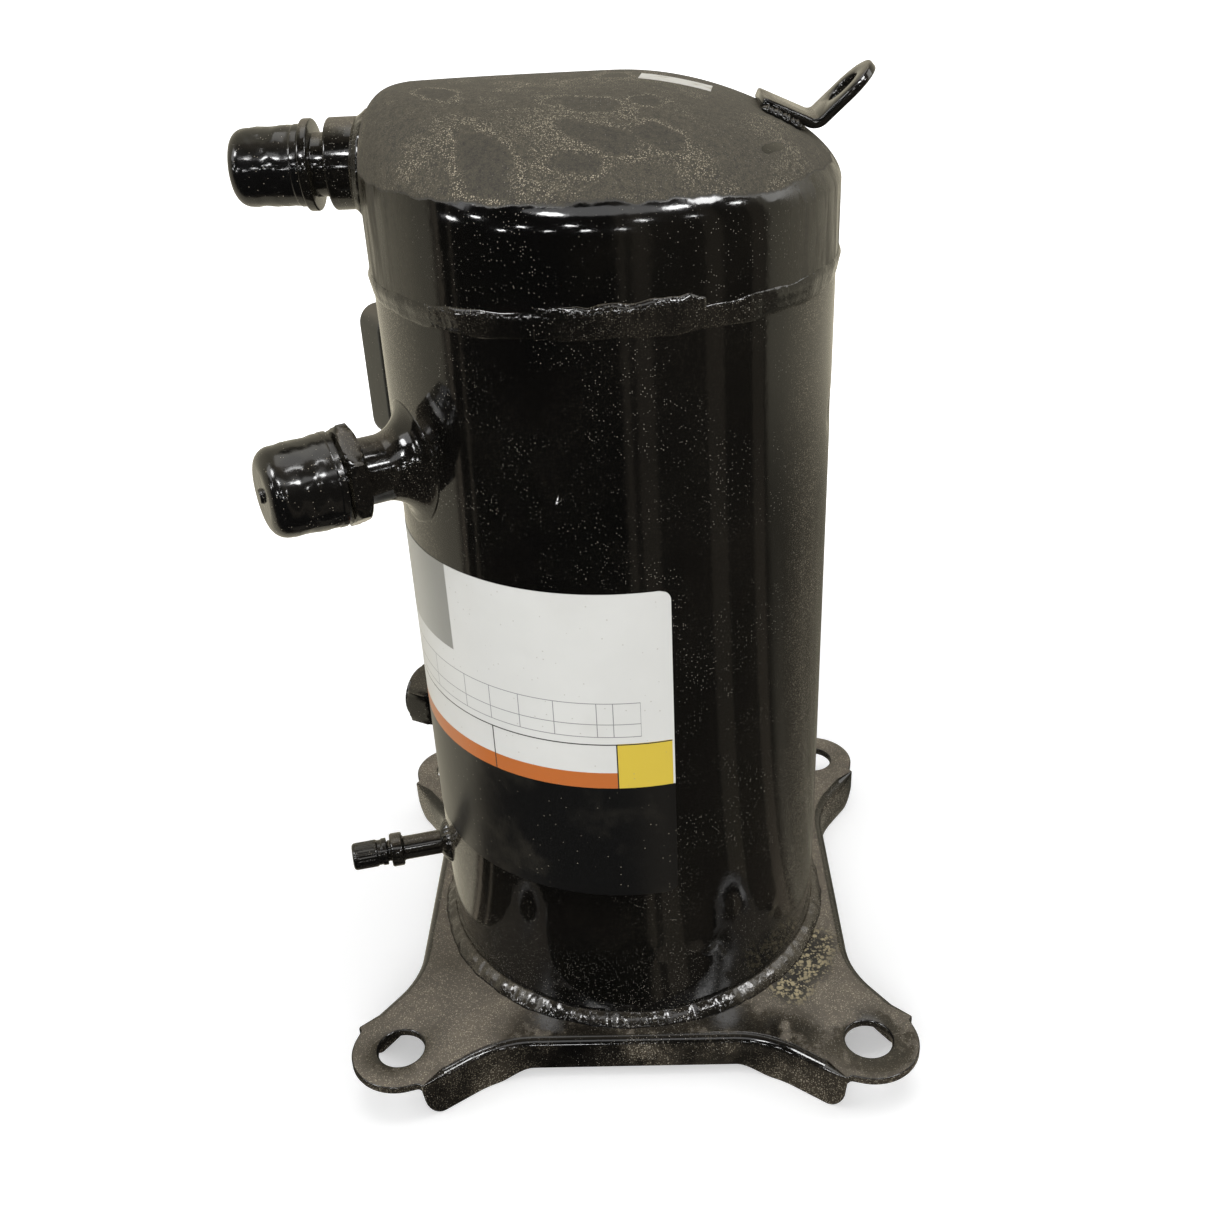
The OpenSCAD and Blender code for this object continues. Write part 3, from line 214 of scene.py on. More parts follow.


# Dusty top of the cap: grey-brown dust in grains over black enamel, wiped smooth in broad strokes whose rims hold a
# thin ridge of loose grains; below the bend the enamel is bare and mirrors the hall, save for a paler film on both
# sides as seen, partly dust and partly painted sheen
def dustyEnamel(name):
    material, add, skin = blank(name)
    where = objectPoint(add)
    across, depth, height = (add("SeparateXYZ", where, out=k) for k in range(3))
    ragged = (add("TexNoise", Vector=where, Scale=75, Detail=4, Roughness=0.6) - 0.5) * 0.006
    ragged = ragged + add("MapRange", across, 0.025, 0.05) * 0.0022
    lie = add("MapRange", height + ragged, 0.3506, 0.3524)  # dust stays above this height only
    fine = add("TexNoise", Vector=where, Scale=2400, Detail=3, Roughness=0.75)
    grains = dots(add, where, 2000, 0.46, 0.65) | dots(add, where, 1150, 0.36, 0.35)
    heaps = add("TexNoise", Vector=where, Scale=42, Detail=5, Roughness=0.7, Distortion=0.5)
    heaps = add("MapRange", heaps, 0.47, 0.68)
    wobble = (add("TexNoise", Vector=where, Scale=62, Detail=4, Roughness=0.6, Distortion=0.4) - 0.5) * 2.0

    def fromStroke(x, y, length, width, turn):  # 0 in the middle of an oval stroke, 1 on its rim
        place, size = (x / 1000, y / 1000, 0.365), (length / 1000, width / 1000, 1)
        local = add("Mapping", where, place, (0, 0, math.radians(turn)), size, vector_type="TEXTURE")
        return add("VectorMath", local, operation="LENGTH", out="Value")

    # worn areas on the near half, joined with the strokes
    gap = 0.75 + (0.62 - add("TexNoise", Vector=where, Scale=26)) * 6.0
    gap = gap | depth * -60.0
    for stroke in wipes["smooth"]:
        gap = gap & fromStroke(*stroke)
    gap = gap + wobble
    wiped = 1.0 - add("MapRange", gap, 0.60, 1.0)
    ridge = add("MapRange", gap, 0.88, 1.0) * (1.0 - add("MapRange", gap, 1.02, 1.45))
    bare = 1.0 - add("MapRange", fromStroke(*wipes["bare"]) + wobble, 0.8, 1.0)
    loose = (0.10 + heaps * 0.75) * (1.0 - wiped * 0.94)
    loose = (loose | ridge * 0.95) * grains
    film = add("MapRange", add("TexNoise", Vector=where, Scale=20, Detail=4, Roughness=0.6), 0.45, 0.75) * 0.03
    runs = objectPoint(add, (160, 160, 22))
    streak = add("TexNoise", Vector=runs, Scale=1, Detail=4, Roughness=0.65, Distortion=0.4)
    # a paler streaky film on both sides as seen: partly dust, partly painted sheen standing in for the pale hall
    # mirrored at grazing angles
    aside = add("MapRange", abs(across), 0.052, 0.070)
    film = film | aside * (add("MapRange", streak, 0.3, 0.7) * 0.36)
    thick = (0.70 - wiped * 0.10 + loose * 0.25) * lie * (1.0 - bare)
    dust = (thick | film) & 1.0
    mottle = fine * 0.6 + add("TexNoise", Vector=where, Scale=520, Detail=3, Roughness=0.7) * 0.4
    tone = add("Mix", add("MapRange", mottle, 0.34, 0.66), linear("#2e2a20"), linear("#5c5543"))
    tone = add("Mix", loose * lie, tone, linear("#b3a890"))
    base = add("Mix", dust, linear("#050505"), tone)
    drifts = add("TexNoise", Vector=where, Scale=34, Detail=4, Roughness=0.7, Distortion=0.5)
    specks = dots(add, where, 1300, 0.25, 0.25) * add("MapRange", drifts, 0.42, 0.62)
    base = add("Mix", specks * 0.5, base, linear("#aaa498"))
    dull = add("MapRange", dust, 0.0, 0.5, 0.08, 0.85, interpolation_type="LINEAR")
    relief = add("TexNoise", Vector=where, Scale=420, Detail=1) * 0.3 + (fine + loose) * dust
    skin.fill({"Base Color": base, "Roughness": dull, "Sheen Weight": 0.06, **dustBloom,
               "Normal": add("Bump", Strength=0.16, Distance=0.0006, Height=relief)})
    return material


# Moulded cap plastic: black, shiny, with a soft wave, handling scuffs and dust on top
def capPlastic(name, colour="#0a0a0a", rough=0.12, dusty=0.08):
    material, add, skin = blank(name)
    where = objectPoint(add)
    cloud = add("TexNoise", Vector=where, Scale=60, Detail=4, Roughness=0.6, Distortion=0.5)
    strokes = objectPoint(add, (300, 300, 1500), (0.4, 0.2, 0.3))
    scuff = add("MapRange", add("TexNoise", Vector=strokes, Scale=1, Detail=3, Roughness=0.6), 0.62, 0.75)
    up = add("SeparateXYZ", add("NewGeometry", out="Normal"), out=2)
    dust = add("MapRange", up, 0.2, 0.9) * (add("MapRange", cloud, 0.3, 0.6) * dusty)
    base = add("Mix", dust, linear(colour), linear("#6b6354"))
    base = add("Mix", scuff * 0.06, base, linear("#8a867c"))
    base = add("Mix", dots(add, where, 1100, 0.24, 0.16) * 0.6, base, linear("#b0a796"))
    dull = add("MapRange", dust + scuff * 0.2, 0.0, 0.6, rough, 0.7, interpolation_type="LINEAR")
    wave = add("TexNoise", Vector=where, Scale=170)
    skin.fill({"Base Color": base, "Roughness": dull,
               "Normal": add("Bump", Strength=0.2, Distance=0.0008, Height=wave)})
    return material


# Metals and inner materials: a base tone that shifts in patches, with a turned or cast grain in the bump
def plainMetal(name, colour, dark, metallic, rough, scale, lay=(1, 1, 1), deep=0.2):
    material, add, skin = blank(name)
    tone = add("TexNoise", Vector=objectPoint(add, lay), Scale=scale, Detail=4, Roughness=0.65)
    patch = add("TexNoise", Vector=objectPoint(add), Scale=35, Detail=3)
    base = add("Mix", add("MapRange", tone * 0.5 + patch * 0.5, 0.35, 0.65), linear(dark), linear(colour))
    dull = add("MapRange", tone, 0.3, 0.7, rough, min(1, rough + 0.18), interpolation_type="LINEAR")
    skin.fill({"Base Color": base, "Metallic": metallic, "Roughness": dull,
               "Normal": add("Bump", Strength=deep, Distance=0.0004, Height=tone)})
    return material


# Clear glass of the sight glass and the pin seals
def clearGlass(name):
    material, add, skin = blank(name)
    where = objectPoint(add)
    tint = add("Mix", add("TexNoise", Vector=where, Scale=90), linear("#c9d6d2"), linear("#e3ece9"))
    smears = add("TexNoise", Vector=where, Scale=300, Detail=3)
    dull = add("MapRange", smears, 0.4, 0.7, 0.03, 0.12, interpolation_type="LINEAR")
    skin.fill({"Base Color": tint, "Transmission Weight": 0.9, "IOR": 1.5, "Roughness": dull})
    return material


# the printed sheet's fields, in millimetres from its lower right corner: along the shell and up
fields = {"rows": (75.0, 80.5, 89.5), "posts": (12.0, 22.0, 28.0, 44.0, 58.0, 71.0, 84.0, 104.0, 124.0),
          "gridEnd": 150.0, "foot": 52.0, "band": 59.0, "bandFrom": 21.5, "square": (0.8, 21.0), "squareTop": 72.0,
          "border": 71.6, "borderPosts": (71.0, 21.25), "block": (98.0, 88.6, 89.0, 122.0), "edge": 200.0}


# Printed sheet: white above, a ruled grid of thin grey lines, an ochre band with a yellow end, charcoal below
def printedSheet(name):
    material, add, skin = blank(name)
    place = add("Attribute", attribute_name="panel", out="Vector")
    u, v = add("SeparateXYZ", place, out=0), add("SeparateXYZ", place, out=1)
    f = fields

    def inside(value, low, high):
        return (value > low) * (value < high)

    def line(value, at, half=0.16):
        return add("Math", value, at, half, operation="COMPARE")

    where = objectPoint(add)
    base = add("Mix", add("TexNoise", Vector=where, Scale=40, Detail=3), linear("#c8c8c4"), linear("#d3d3cf"))
    grid, posts = line(v, f["rows"][0]), line(u, f["posts"][0])
    for at in f["rows"][1:]:
        grid = grid | line(v, at)
    for at in f["posts"][1:]:
        posts = posts | line(u, at)
    grid = grid | posts * inside(v, f["rows"][0], f["rows"][-1])
    grid = grid * inside(u, f["posts"][0], f["gridEnd"])
    base = add("Mix", grid * 0.75, base, linear("#55565a"))
    base = add("Mix", inside(v, -1.0, f["foot"]), base, linear("#0f0f0f"))
    base = add("Mix", inside(v, f["foot"], f["band"]) * inside(u, f["bandFrom"], f["edge"]), base, linear("#b4642b"))
    base = add("Mix", inside(v, f["foot"], f["squareTop"]) * inside(u, *f["square"]), base, linear("#cbb23c"))
    border = line(v, f["border"], 0.25)
    for at in f["borderPosts"]:
        border = border | line(u, at, 0.25) * inside(v, f["foot"], f["border"])
    base = add("Mix", border * inside(u, f["square"][0], f["edge"]), base, linear("#33312d"))
    blockLow, soft, start, end = f["block"]
    block = inside(v, blockLow, 140.0) * add("MapRange", u, soft, start)
    base = add("Mix", block, base, add("Mix", add("MapRange", u, start, end), linear("#858580"), linear("#a7a7a2")))
    base = add("Mix", dots(add, where, 420, 0.14, 0.3) * 0.5, base, linear("#8f8879"))
    film = add("MapRange", add("TexNoise", Vector=where, Scale=26, Detail=4, Roughness=0.6), 0.5, 0.75) * 0.07
    base = add("Mix", film, base, linear("#8f8672"))
    wave = add("TexNoise", Vector=where, Scale=300)
    skin.fill({"Base Color": base, "Roughness": 0.3,
               "Normal": add("Bump", Strength=0.05, Distance=0.0005, Height=wave)})
    return material


# Blank paper: off-white, faintly soiled
def paper(name):
    material, add, skin = blank(name)
    where = objectPoint(add)
    soil = add("MapRange", add("TexNoise", Vector=where, Scale=160, Detail=4, Roughness=0.65), 0.45, 0.8)
    fibre = add("TexNoise", Vector=where, Scale=700)
    skin.fill({"Base Color": add("Mix", soil, linear("#d6d4cd"), linear("#a79d89")), "Roughness": 0.6,
               "Normal": add("Bump", Strength=0.1, Distance=0.0004, Height=fibre)})
    return material


# places on the base, in metres, with an inner and outer radius: dust wiped away, and clods of dirt
wornSpots = [((-0.034, -0.092, 0.020), 0.010, 0.030), ((0.0, -0.093, 0.020), 0.012, 0.034),
             ((0.036, -0.091, 0.020), 0.010, 0.032), ((0.064, -0.094, 0.020), 0.006, 0.024),
             ((0.098, -0.097, 0.020), 0.010, 0.026), ((-0.097, -0.098, 0.020), 0.006, 0.018)]
dirtSpots = [((0.0805, -0.041, 0.020), 0.004, 0.013), ((0.074, -0.053, 0.020), 0.006, 0.015),
             ((0.067, -0.066, 0.020), 0.004, 0.013)]
paint = {
    "panel": printedSheet("printedSheet"),
    "tab": paper("blankPaper"),
    "shell": enamel("blackEnamel", 0.02, 0.6, rubbed=0.30, rough=0.07, low=0.5, sheen=0.05, flankDustAndSheen=0.26),
    "base": enamel("dustyBaseEnamel", 0.80, 1.0, 0.96, (0.93, 0.995), rough=0.09, bends=0.75, clean=wornSpots,
                   dirt=dirtSpots),
    "baseWeld": enamel("dustyWeldEnamel", 0.35, 1.0, 0.40, (0.35, 0.85), rough=0.12, lumps=0.2, clean=[
        ((0.0, -0.086, 0.022), 0.030, 0.075)]),
    "weld": enamel("weldEnamel", 0.08, 0.8, 0.5, rubbed=0.1, rough=0.10, sheen=0.08, lumps=0.4),
    "fitting": enamel("fittingEnamel", 0.05, 0.5, 0.5, rubbed=0.15, rough=0.10, sheen=0.08),
    "dome": dustyEnamel("dustyCapEnamel"),
}
plastic = {
    "cap": capPlastic("capPlastic"),
    "box": capPlastic("boxPlastic", "#2f2e27", 0.5, 0.5),
}
metal = {
    "sheet": plainMetal("pressedSteel", "#8d8f92", "#6d6f73", 1.0, 0.35, 220, deep=0.1),
    "machined": plainMetal("turnedSteel", "#a9abae", "#85878b", 1.0, 0.22, 60, (1, 1, 60), 0.15),
    "iron": plainMetal("castIron", "#5b5b5d", "#404042", 0.9, 0.5, 420, deep=0.35),
    "bronze": plainMetal("bearingBronze", "#a98d52", "#86703f", 1.0, 0.3, 90, (1, 1, 30), 0.15),
    "alloy": plainMetal("castAlloy", "#b4b6b8", "#96989b", 1.0, 0.4, 300, deep=0.25),
    "core": plainMetal("laminatedIron", "#55585c", "#35373a", 0.9, 0.45, 1, (40, 40, 2600), 0.5),
    "copper": plainMetal("enamelledCopper", "#8a4a22", "#5c2d12", 0.6, 0.35, 1, (900, 900, 1800), 0.8),
    "brass": plainMetal("drawnBrass", "#b5934e", "#93753a", 1.0, 0.25, 120, (1, 1, 20), 0.12),
    "rubber": plainMetal("blackRubber", "#1a1a1a", "#101010", 0.0, 0.65, 500, deep=0.3),
    "polymer": plainMetal("sealPolymer", "#c9c2b0", "#b0a892", 0.0, 0.45, 260, deep=0.15),
}
glass = clearGlass("clearGlass")
slotLook = {
    "black_paint": paint["fitting"], "black_plastic": plastic["cap"], "box_plastic": plastic["box"],
    "black_rubber": metal["rubber"], "sight_glass": glass, "brass": metal["brass"], "sheet_steel": metal["sheet"],
    "machined_steel": metal["machined"], "grey_iron": metal["iron"], "bearing_bronze": metal["bronze"],
    "light_alloy": metal["alloy"], "seal_polymer": metal["polymer"], "core_steel": metal["core"],
    "copper_winding": metal["copper"],
}
print("finishes made:", len(bpy.data.materials))


# puts arrays of points (millimetres) and corner lists into a mesh object that rides a body; face groups named
# flat keep their own plane, the rest shade smoothly
def piece(name, points, faces, material, body="casing", slot="black_paint", stands=(), sharp=None, flat=(),
          lay=None):
    mesh = bpy.data.meshes.new(name)
    loops = np.concatenate([f.ravel() for f in faces]).astype(np.int32)
    sizes = np.concatenate([np.full(len(f), f.shape[1]) for f in faces])
    mesh.vertices.add(len(points))
    mesh.vertices.foreach_set("co", (np.asarray(points, float) / 1000).astype(np.float32).ravel())
    mesh.loops.add(len(loops))
    mesh.loops.foreach_set("vertex_index", loops)
    mesh.polygons.add(len(sizes))
    mesh.polygons.foreach_set("loop_start", np.concatenate([[0], np.cumsum(sizes)[:-1]]).astype(np.int32))
    smooth = np.concatenate([np.full(len(f), k not in flat) for k, f in enumerate(faces)])
    mesh.polygons.foreach_set("use_smooth", smooth)
    if lay is not None:
        places = mesh.attributes.new("panel", "FLOAT_VECTOR", "POINT")
        places.data.foreach_set("vector", lay.astype(np.float32).ravel())
    mesh.update(calc_edges=True)
    work = bmesh.new()
    work.from_mesh(mesh)
    bmesh.ops.remove_doubles(work, verts=work.verts, dist=2e-6)  # closes seams and poles
    bmesh.ops.dissolve_degenerate(work, edges=work.edges, dist=1e-7)
    bmesh.ops.recalc_face_normals(work, faces=work.faces)
    work.to_mesh(mesh)
    work.free()
    if sharp:
        mesh.set_sharp_from_angle(angle=math.radians(sharp))
    mesh.materials.append(material)
    thing = bpy.data.objects.new(name, mesh)
    bpy.context.scene.collection.objects.link(thing)
    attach(thing, body)
    if stands:
        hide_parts(*stands)
    return thing


# corner lists of a grid of rows and columns; the columns may close into a ring
def gridFaces(rows, cols, ring=False, first=0):
    r = np.arange(rows - 1)[:, None]
    c = np.arange(cols if ring else cols - 1)[None, :]
    d = (c + 1) % cols
    return first + np.stack([r * cols + c, r * cols + d, (r + 1) * cols + d, (r + 1) * cols + c], -1).reshape(-1, 4)


# faces of a thin sheet: a grid, the same grid behind it, and a wall round the rim
def sheetFaces(rows, cols):
    cells, count = gridFaces(rows, cols), rows * cols
    k = np.arange(count).reshape(rows, cols)
    rim = np.concatenate([k[0, :-1], k[:-1, -1], k[-1, :0:-1], k[:0:-1, 0]])
    after = np.roll(rim, -1)
    return [cells, cells + count, np.stack([rim, after, after + count, rim + count], 1)]


def around(r, a, z):  # points on circles about Z: radius, angle, height
    return np.stack(np.broadcast_arrays(r * np.cos(a), r * np.sin(a), z), -1)


def circle(sides):  # angles once round
    return np.linspace(0, tau, sides, endpoint=False)


# a polyline whose inner corners are rounded: each corner becomes an arc that touches both of its sides
def rounded(corners, radius, steps=5):
    pts = [np.array(c[:2], float) for c in corners]
    given = [c[2] if len(c) > 2 else radius for c in corners]
    out = [pts[0]]
    for before, here, after, r in zip(pts, pts[1:], pts[2:], given[1:]):
        a, b = before - here, after - here
        la, lb = np.linalg.norm(a), np.linalg.norm(b)
        a, b = a / la, b / lb
        half = math.acos(float(np.clip(a @ b, -1, 1))) / 2
        if r <= 0 or half > math.pi / 2 - 0.02:
            out.append(here)
            continue
        back = min(r / math.tan(half), la * 0.49, lb * 0.49)
        t = np.linspace(0, 1, steps)[:, None]
        mid = (a + b) / np.linalg.norm(a + b)
        r = back * math.tan(half)
        centre = here + mid * r / math.sin(half)
        p, q = here + a * back - centre, here + b * back - centre
        turn = math.pi - 2 * half
        arc = centre + (np.sin((1 - t) * turn) * p + np.sin(t * turn) * q) / math.sin(turn)
        out.extend(arc)
    out.append(pts[-1])
    return np.array(out)


# splits the long stretches of a profile, so that a pattern on them has points to move
def divided(profile, parts, long=5.0):
    out = []
    for p, q in zip(profile, profile[1:]):
        out.extend(np.linspace(p, q, parts + 1)[:-1] if np.linalg.norm(q - p) > long else [p])
    return np.array(out + [profile[-1]])


# a profile of (distance, radius) turned about its axis: each point goes round as a circle
def turned(profile, sides=96, shape=None):
    a = circle(sides)
    along, r = profile[:, :1], profile[:, 1:2]
    wide = r * np.ones_like(a) if shape is None else shape(along, r, a)
    return around(wide, a, along)


# turns local points so that their Z runs out along the radius at a bearing, at a height
def outward(points, bearing, height):
    b = math.radians(bearing)
    axes = np.array([[-math.sin(b), math.cos(b), 0], [0, 0, 1], [math.cos(b), math.sin(b), 0]])
    return points.reshape(-1, 3) @ axes + [0, 0, height]


def lathe(name, profile, bearing, height, material, sides=96, shape=None, sharp=40, **where):
    grid = turned(profile, sides, shape)
    return piece(name, outward(grid, bearing, height), [gridFaces(len(profile), sides, True)], material, sharp=sharp,
                 **where)


# several waves of different length and phase added up, for hand-made unevenness along a bead
def uneven(x, seed, waves):
    lot = np.random.default_rng(seed)
    out = np.zeros_like(x)
    for count, size in waves:
        out += size * np.sin(count * x + lot.uniform(0, tau))
    return out


# Top cap: level along a ridge and falling to the rim, where the height over the skirt is
# H * (1 - (s/m)^n)^(1/n), with s the distance from the ridge, m the reach to the rim and n the fullness there
cap = {"radius": 83.2, "wall": 3.5, "low": 316.0, "knuckle": 341.6, "rise": 34.5, "ridgeLeft": -65.0,
       "ridgeRight": 6.5, "side": 2.1, "left": 2.6, "right": 1.65, "rings": 84, "sides": 288}


def domeHeight(x, y, radius=cap["radius"], rise=cap["rise"]):
    q = np.clip(x, cap["ridgeLeft"], cap["ridgeRight"])
    s = np.hypot(x - q, y)
    ux = (x - q) / np.maximum(s, 1e-6)
    m = np.sqrt(np.maximum(0, (q * ux) ** 2 - q * q + radius ** 2)) - q * ux
    c = (q + ux * m) / radius
    n = cap["side"] + np.where(c < 0, cap["left"] - cap["side"], cap["right"] - cap["side"]) * c * c
    return cap["knuckle"] + rise * np.maximum(0, 1 - np.minimum(s / m, 1) ** n) ** (1 / n)


def makeCap():
    a = circle(cap["sides"])

    def skin(radius, rise, rings):
        r = radius * np.sin(np.linspace(0, math.pi / 2, rings))[:, None]
        x, y = r * np.cos(a), r * np.sin(a)
        z = domeHeight(x, y, radius, rise)
        wave = 0.10 * np.sin(x / 17 + 0.6) * np.cos(y / 21 + 0.3) * np.minimum(1, (radius - r) / 20)
        return np.stack([x, y, z + wave], -1)

    def wall(radius, heights):
        return around(radius, a, np.array(heights)[:, None])

    outer = skin(cap["radius"], cap["rise"], cap["rings"])
    skirt = wall(cap["radius"], np.linspace(cap["knuckle"], cap["low"], 7)[1:])
    within = wall(cap["radius"] - cap["wall"], np.linspace(cap["low"], cap["knuckle"], 4))
    inner = skin(cap["radius"] - cap["wall"], cap["rise"] - cap["wall"], 28)[::-1]
    grid = np.concatenate([outer, skirt, within, inner[1:]])
    piece("topCap", grid.reshape(-1, 3), [gridFaces(len(grid), cap["sides"], True)], paint["dome"], stands=["top_cap"],
          sharp=60)


# Shell: a round tube whose skin has pressed dents over the housing and plug welds over the lower bracket,
# each a bell curve of the distance from its middle; a square of the grid is redrawn round the terminal's hole
shell = {"radius": 82.5, "wall": 3.0, "low": 16.5, "top": 313.0, "sides": 384,
         "dents": [(78.6 + 90 * k, 260.0, -2.0, 5.2) for k in range(4)],
         "plugs": [(-83, 55, 0.9, 3.2), (-68, 56, 1.3, 4.2), (-45, 57, 0.8, 3.0), (52, 55, 1.0, 3.5),
                   (172, 55, 1.1, 3.8)],
         "hole": (126.0, 253.0, 19.0)}


def makeShell():
    n = shell["sides"]
    a = circle(n)
    z = np.unique(np.round(np.concatenate([
        np.linspace(shell["low"], 44, 6), np.arange(44, 68, 1.25), np.linspace(68, 246, 32),
        np.arange(226, 276, 2.5), np.arange(250, 276, 1.25), np.linspace(276, shell["top"], 8)]), 3))
    bearing, height, reach = shell["hole"]

    def radiusAt(a, z):
        r = np.full(np.broadcast(a, z).shape, shell["radius"])
        for az, mid, size, spread in shell["dents"] + shell["plugs"]:
            side = (np.degrees(a) - az + 180) % 360 - 180
            far = np.hypot(np.radians(side) * shell["radius"], z - mid)
            r = r + size * np.exp(-(far / spread) ** 2)
        return r

    def skin(a, z, flat):
        r = np.full(np.broadcast(a, z).shape, shell["radius"] - shell["wall"]) if flat else radiusAt(a, z)
        return around(r, a, z)

    # the square: columns and rows just outside the hole
    half = math.degrees((reach + 4) / shell["radius"])
    c0 = int(np.floor((bearing - half) / 360 * n))
    c1 = int(np.ceil((bearing + half) / 360 * n))
    r0 = int(np.searchsorted(z, height - reach - 4) - 1)
    r1 = int(np.searchsorted(z, height + reach + 4))
    cells = gridFaces(len(z), n, True).reshape(len(z) - 1, n, 4)
    keep = np.ones((len(z) - 1, n), bool)
    keep[r0:r1, c0:c1] = False
    rows, cols = np.arange(r0, r1), np.arange(c0, c1)
    rim = np.concatenate([np.column_stack(np.broadcast_arrays(r, c)) for r, c in (
        (r0, cols), (rows, c1), (r1, cols[::-1] + 1), (rows[::-1] + 1, c0))])
    u = np.stack([a[rim[:, 1] % n] - math.radians(bearing), (z[rim[:, 0]] - height) / shell["radius"]], 1)
    ring = u / np.linalg.norm(u, axis=1, keepdims=True) * reach / shell["radius"]
    t = np.linspace(0, 1, 6)[:, None, None]
    patch = u * (1 - t) + ring * t
    sheets, faces, edges, count = [], [], [], 0
    for flat in (False, True):
        body = skin(a[None, :], z[:, None], flat).reshape(-1, 3)
        hole = skin(patch[..., 0] + math.radians(bearing), patch[..., 1] * shell["radius"] + height, flat)
        hole = hole.reshape(-1, 3)
        sheets += [body, hole]
        faces += [cells[keep] + count, gridFaces(6, len(rim), True, count + len(body))]
        edges.append((count, count + len(body) + 5 * len(rim)))
        count += len(body) + len(hole)
    i, k = np.arange(n), np.arange(len(rim))
    for row in (0, len(z) - 1):
        o, w = edges[0][0] + row * n, edges[1][0] + row * n
        faces.append(np.stack([o + i, o + (i + 1) % n, w + (i + 1) % n, w + i], 1))
    o, w = edges[0][1], edges[1][1]
    faces.append(np.stack([o + k, o + (k + 1) % len(k), w + (k + 1) % len(k), w + k], 1))
    piece("centerShell", np.concatenate(sheets), faces, paint["shell"], stands=["center_shell"], sharp=40)


# Seam bead: a low rounded band round the joint, its height and edges wandering with the torch;
# the tie-in is a second, fatter band over a short arc that fades at both ends
seam = {"middle": 315.0, "half": 4.3, "height": 0.9, "tieFrom": -104.0, "tieTo": -66.5, "tieLow": 316.4,
        "tieHigh": 318.6, "tieHalf": 5.0, "tieHeight": 1.7, "sides": 900, "tieSteps": 240}


def makeSeam():
    a = circle(seam["sides"])[None, :]
    v = np.linspace(-1, 1, 15)[:, None]
    mid = seam["middle"] + uneven(a, 3, [(3, 0.25), (7, 0.2), (19, 0.15)])
    half = seam["half"] + uneven(a, 5, [(5, 0.3), (17, 0.25), (41, 0.15)])
    tall = seam["height"] + uneven(a, 8, [(9, 0.12), (29, 0.10), (53, 0.06)])
    ripple = 0.02 * np.sin(150 * a + 2.2 * v * v + uneven(a, 9, [(11, 1.2), (27, 1.0)]))
    ground = shell["radius"] + (cap["radius"] - shell["radius"]) * np.clip((v + 0.2) * 1.5, 0, 1)
    r = ground - 0.08 + (tall + ripple) * (1 - v * v) ** 0.8
    band = around(r, a, mid + half * v)
    back = band[[-1, 0]] * [0.985, 0.985, 1]
    grid = np.concatenate([band, back, band[:1]])
    piece("seamWeld", grid.reshape(-1, 3), [gridFaces(len(grid), seam["sides"], True)], paint["weld"],
          stands=["seam_weld"])
    n = seam["tieSteps"]
    s = np.linspace(0, 1, n)[None, :]
    a = np.radians(seam["tieFrom"] + (seam["tieTo"] - seam["tieFrom"]) * s)
    closing = np.sqrt(np.clip((1 - s) * 9, 0, 1))
    fade = np.clip(s * 2.5, 0, 1) ** 0.8 * closing
    mid = seam["tieLow"] + (seam["tieHigh"] - seam["tieLow"]) * s + uneven(a, 14, [(31, 0.25), (77, 0.10)])
    half = (seam["tieHalf"] + uneven(a, 15, [(43, 0.25), (90, 0.10)])) * (0.4 + 0.6 * closing)
    tall = (seam["tieHeight"] + uneven(a, 16, [(61, 0.16), (140, 0.06)])) * fade
    ripple = 0.05 * fade * np.sin(120 * a + 2.5 * v * v + uneven(a, 17, [(33, 1.0)]))
    lean = (1 - v * v) ** 0.7 * (0.75 + 0.35 * v)  # fuller towards its upper edge
    r = shell["radius"] + 0.65 + (tall + ripple) * lean
    band = around(r, a, mid + half * v)
    under = band * [0.98, 0.98, 1]
    grid = np.concatenate([band, under[::-1], band[:1]])
    faces = [gridFaces(len(grid), n)]
    k = np.arange(14)
    for col in (0, n - 1):  # the two ends
        faces.append(np.stack([k, k + 1, 28 - k, 29 - k], 1) * n + col)
    piece("seamTieIn", grid.reshape(-1, 3), faces, paint["weld"])


# Base bead: a fillet between plate and shell whose section is a quarter round, with weld ripples
baseBead = {"plate": 20.0, "leg": 5.2, "swell": 0.5, "inner": 82.45, "root": 81.9, "sides": 840}


def makeBaseBead():
    a = circle(baseBead["sides"])[None, :]
    v = np.linspace(0, 1, 10)[:, None]
    leg = baseBead["leg"] + uneven(a, 21, [(4, 0.3), (13, 0.25), (37, 0.15), (71, 0.10)])
    swell = baseBead["swell"] + uneven(a, 22, [(17, 0.2), (47, 0.2), (101, 0.12)])
    ripple = 0.06 * np.sin(135 * a + 1.5 * v + uneven(a, 23, [(9, 1.5)]))
    bulge = (swell + ripple) * np.sin(v * math.pi)
    r = baseBead["inner"] + leg * (1 - v) + bulge * 0.7
    z = baseBead["plate"] - 0.05 + leg * 0.95 * v + bulge * 0.7
    band = around(r, a, z)
    grid = np.concatenate([band, around(baseBead["root"], a, baseBead["plate"] - 0.5), band[:1]])
    piece("baseWeld", grid.reshape(-1, 3), [gridFaces(len(grid), baseBead["sides"], True)], paint["baseWeld"],
          stands=["base_weld"])


makeCap()
makeShell()
makeSeam()
makeBaseBead()
print("shell, cap and welds made")


# fills a flat outline that has round holes with triangles, keeping every outline point and any ties between points
def filled(rings, ties=()):
    pts = np.concatenate(rings)
    edges, first = [], 0
    for ring in rings:
        k = np.arange(len(ring))
        edges.append(np.stack([first + k, first + (k + 1) % len(ring)], 1))
        first += len(ring)
    lines = np.concatenate(edges).tolist() + [list(t) for t in ties]
    made = delaunay_2d_cdt([tuple(p) for p in pts.tolist()], lines, [], 2, 1e-9)
    flat, tris = np.array([(*p,) for p in made[0]]), np.array([f for f in made[2] if len(f) == 3])
    middle = flat[tris].mean(1)
    for ring in rings[1:]:
        centre = ring.mean(0)
        outside = np.linalg.norm(middle - centre, axis=1) > np.linalg.norm(ring[0] - centre)
        tris, middle = tris[outside], middle[outside]
    return flat, tris


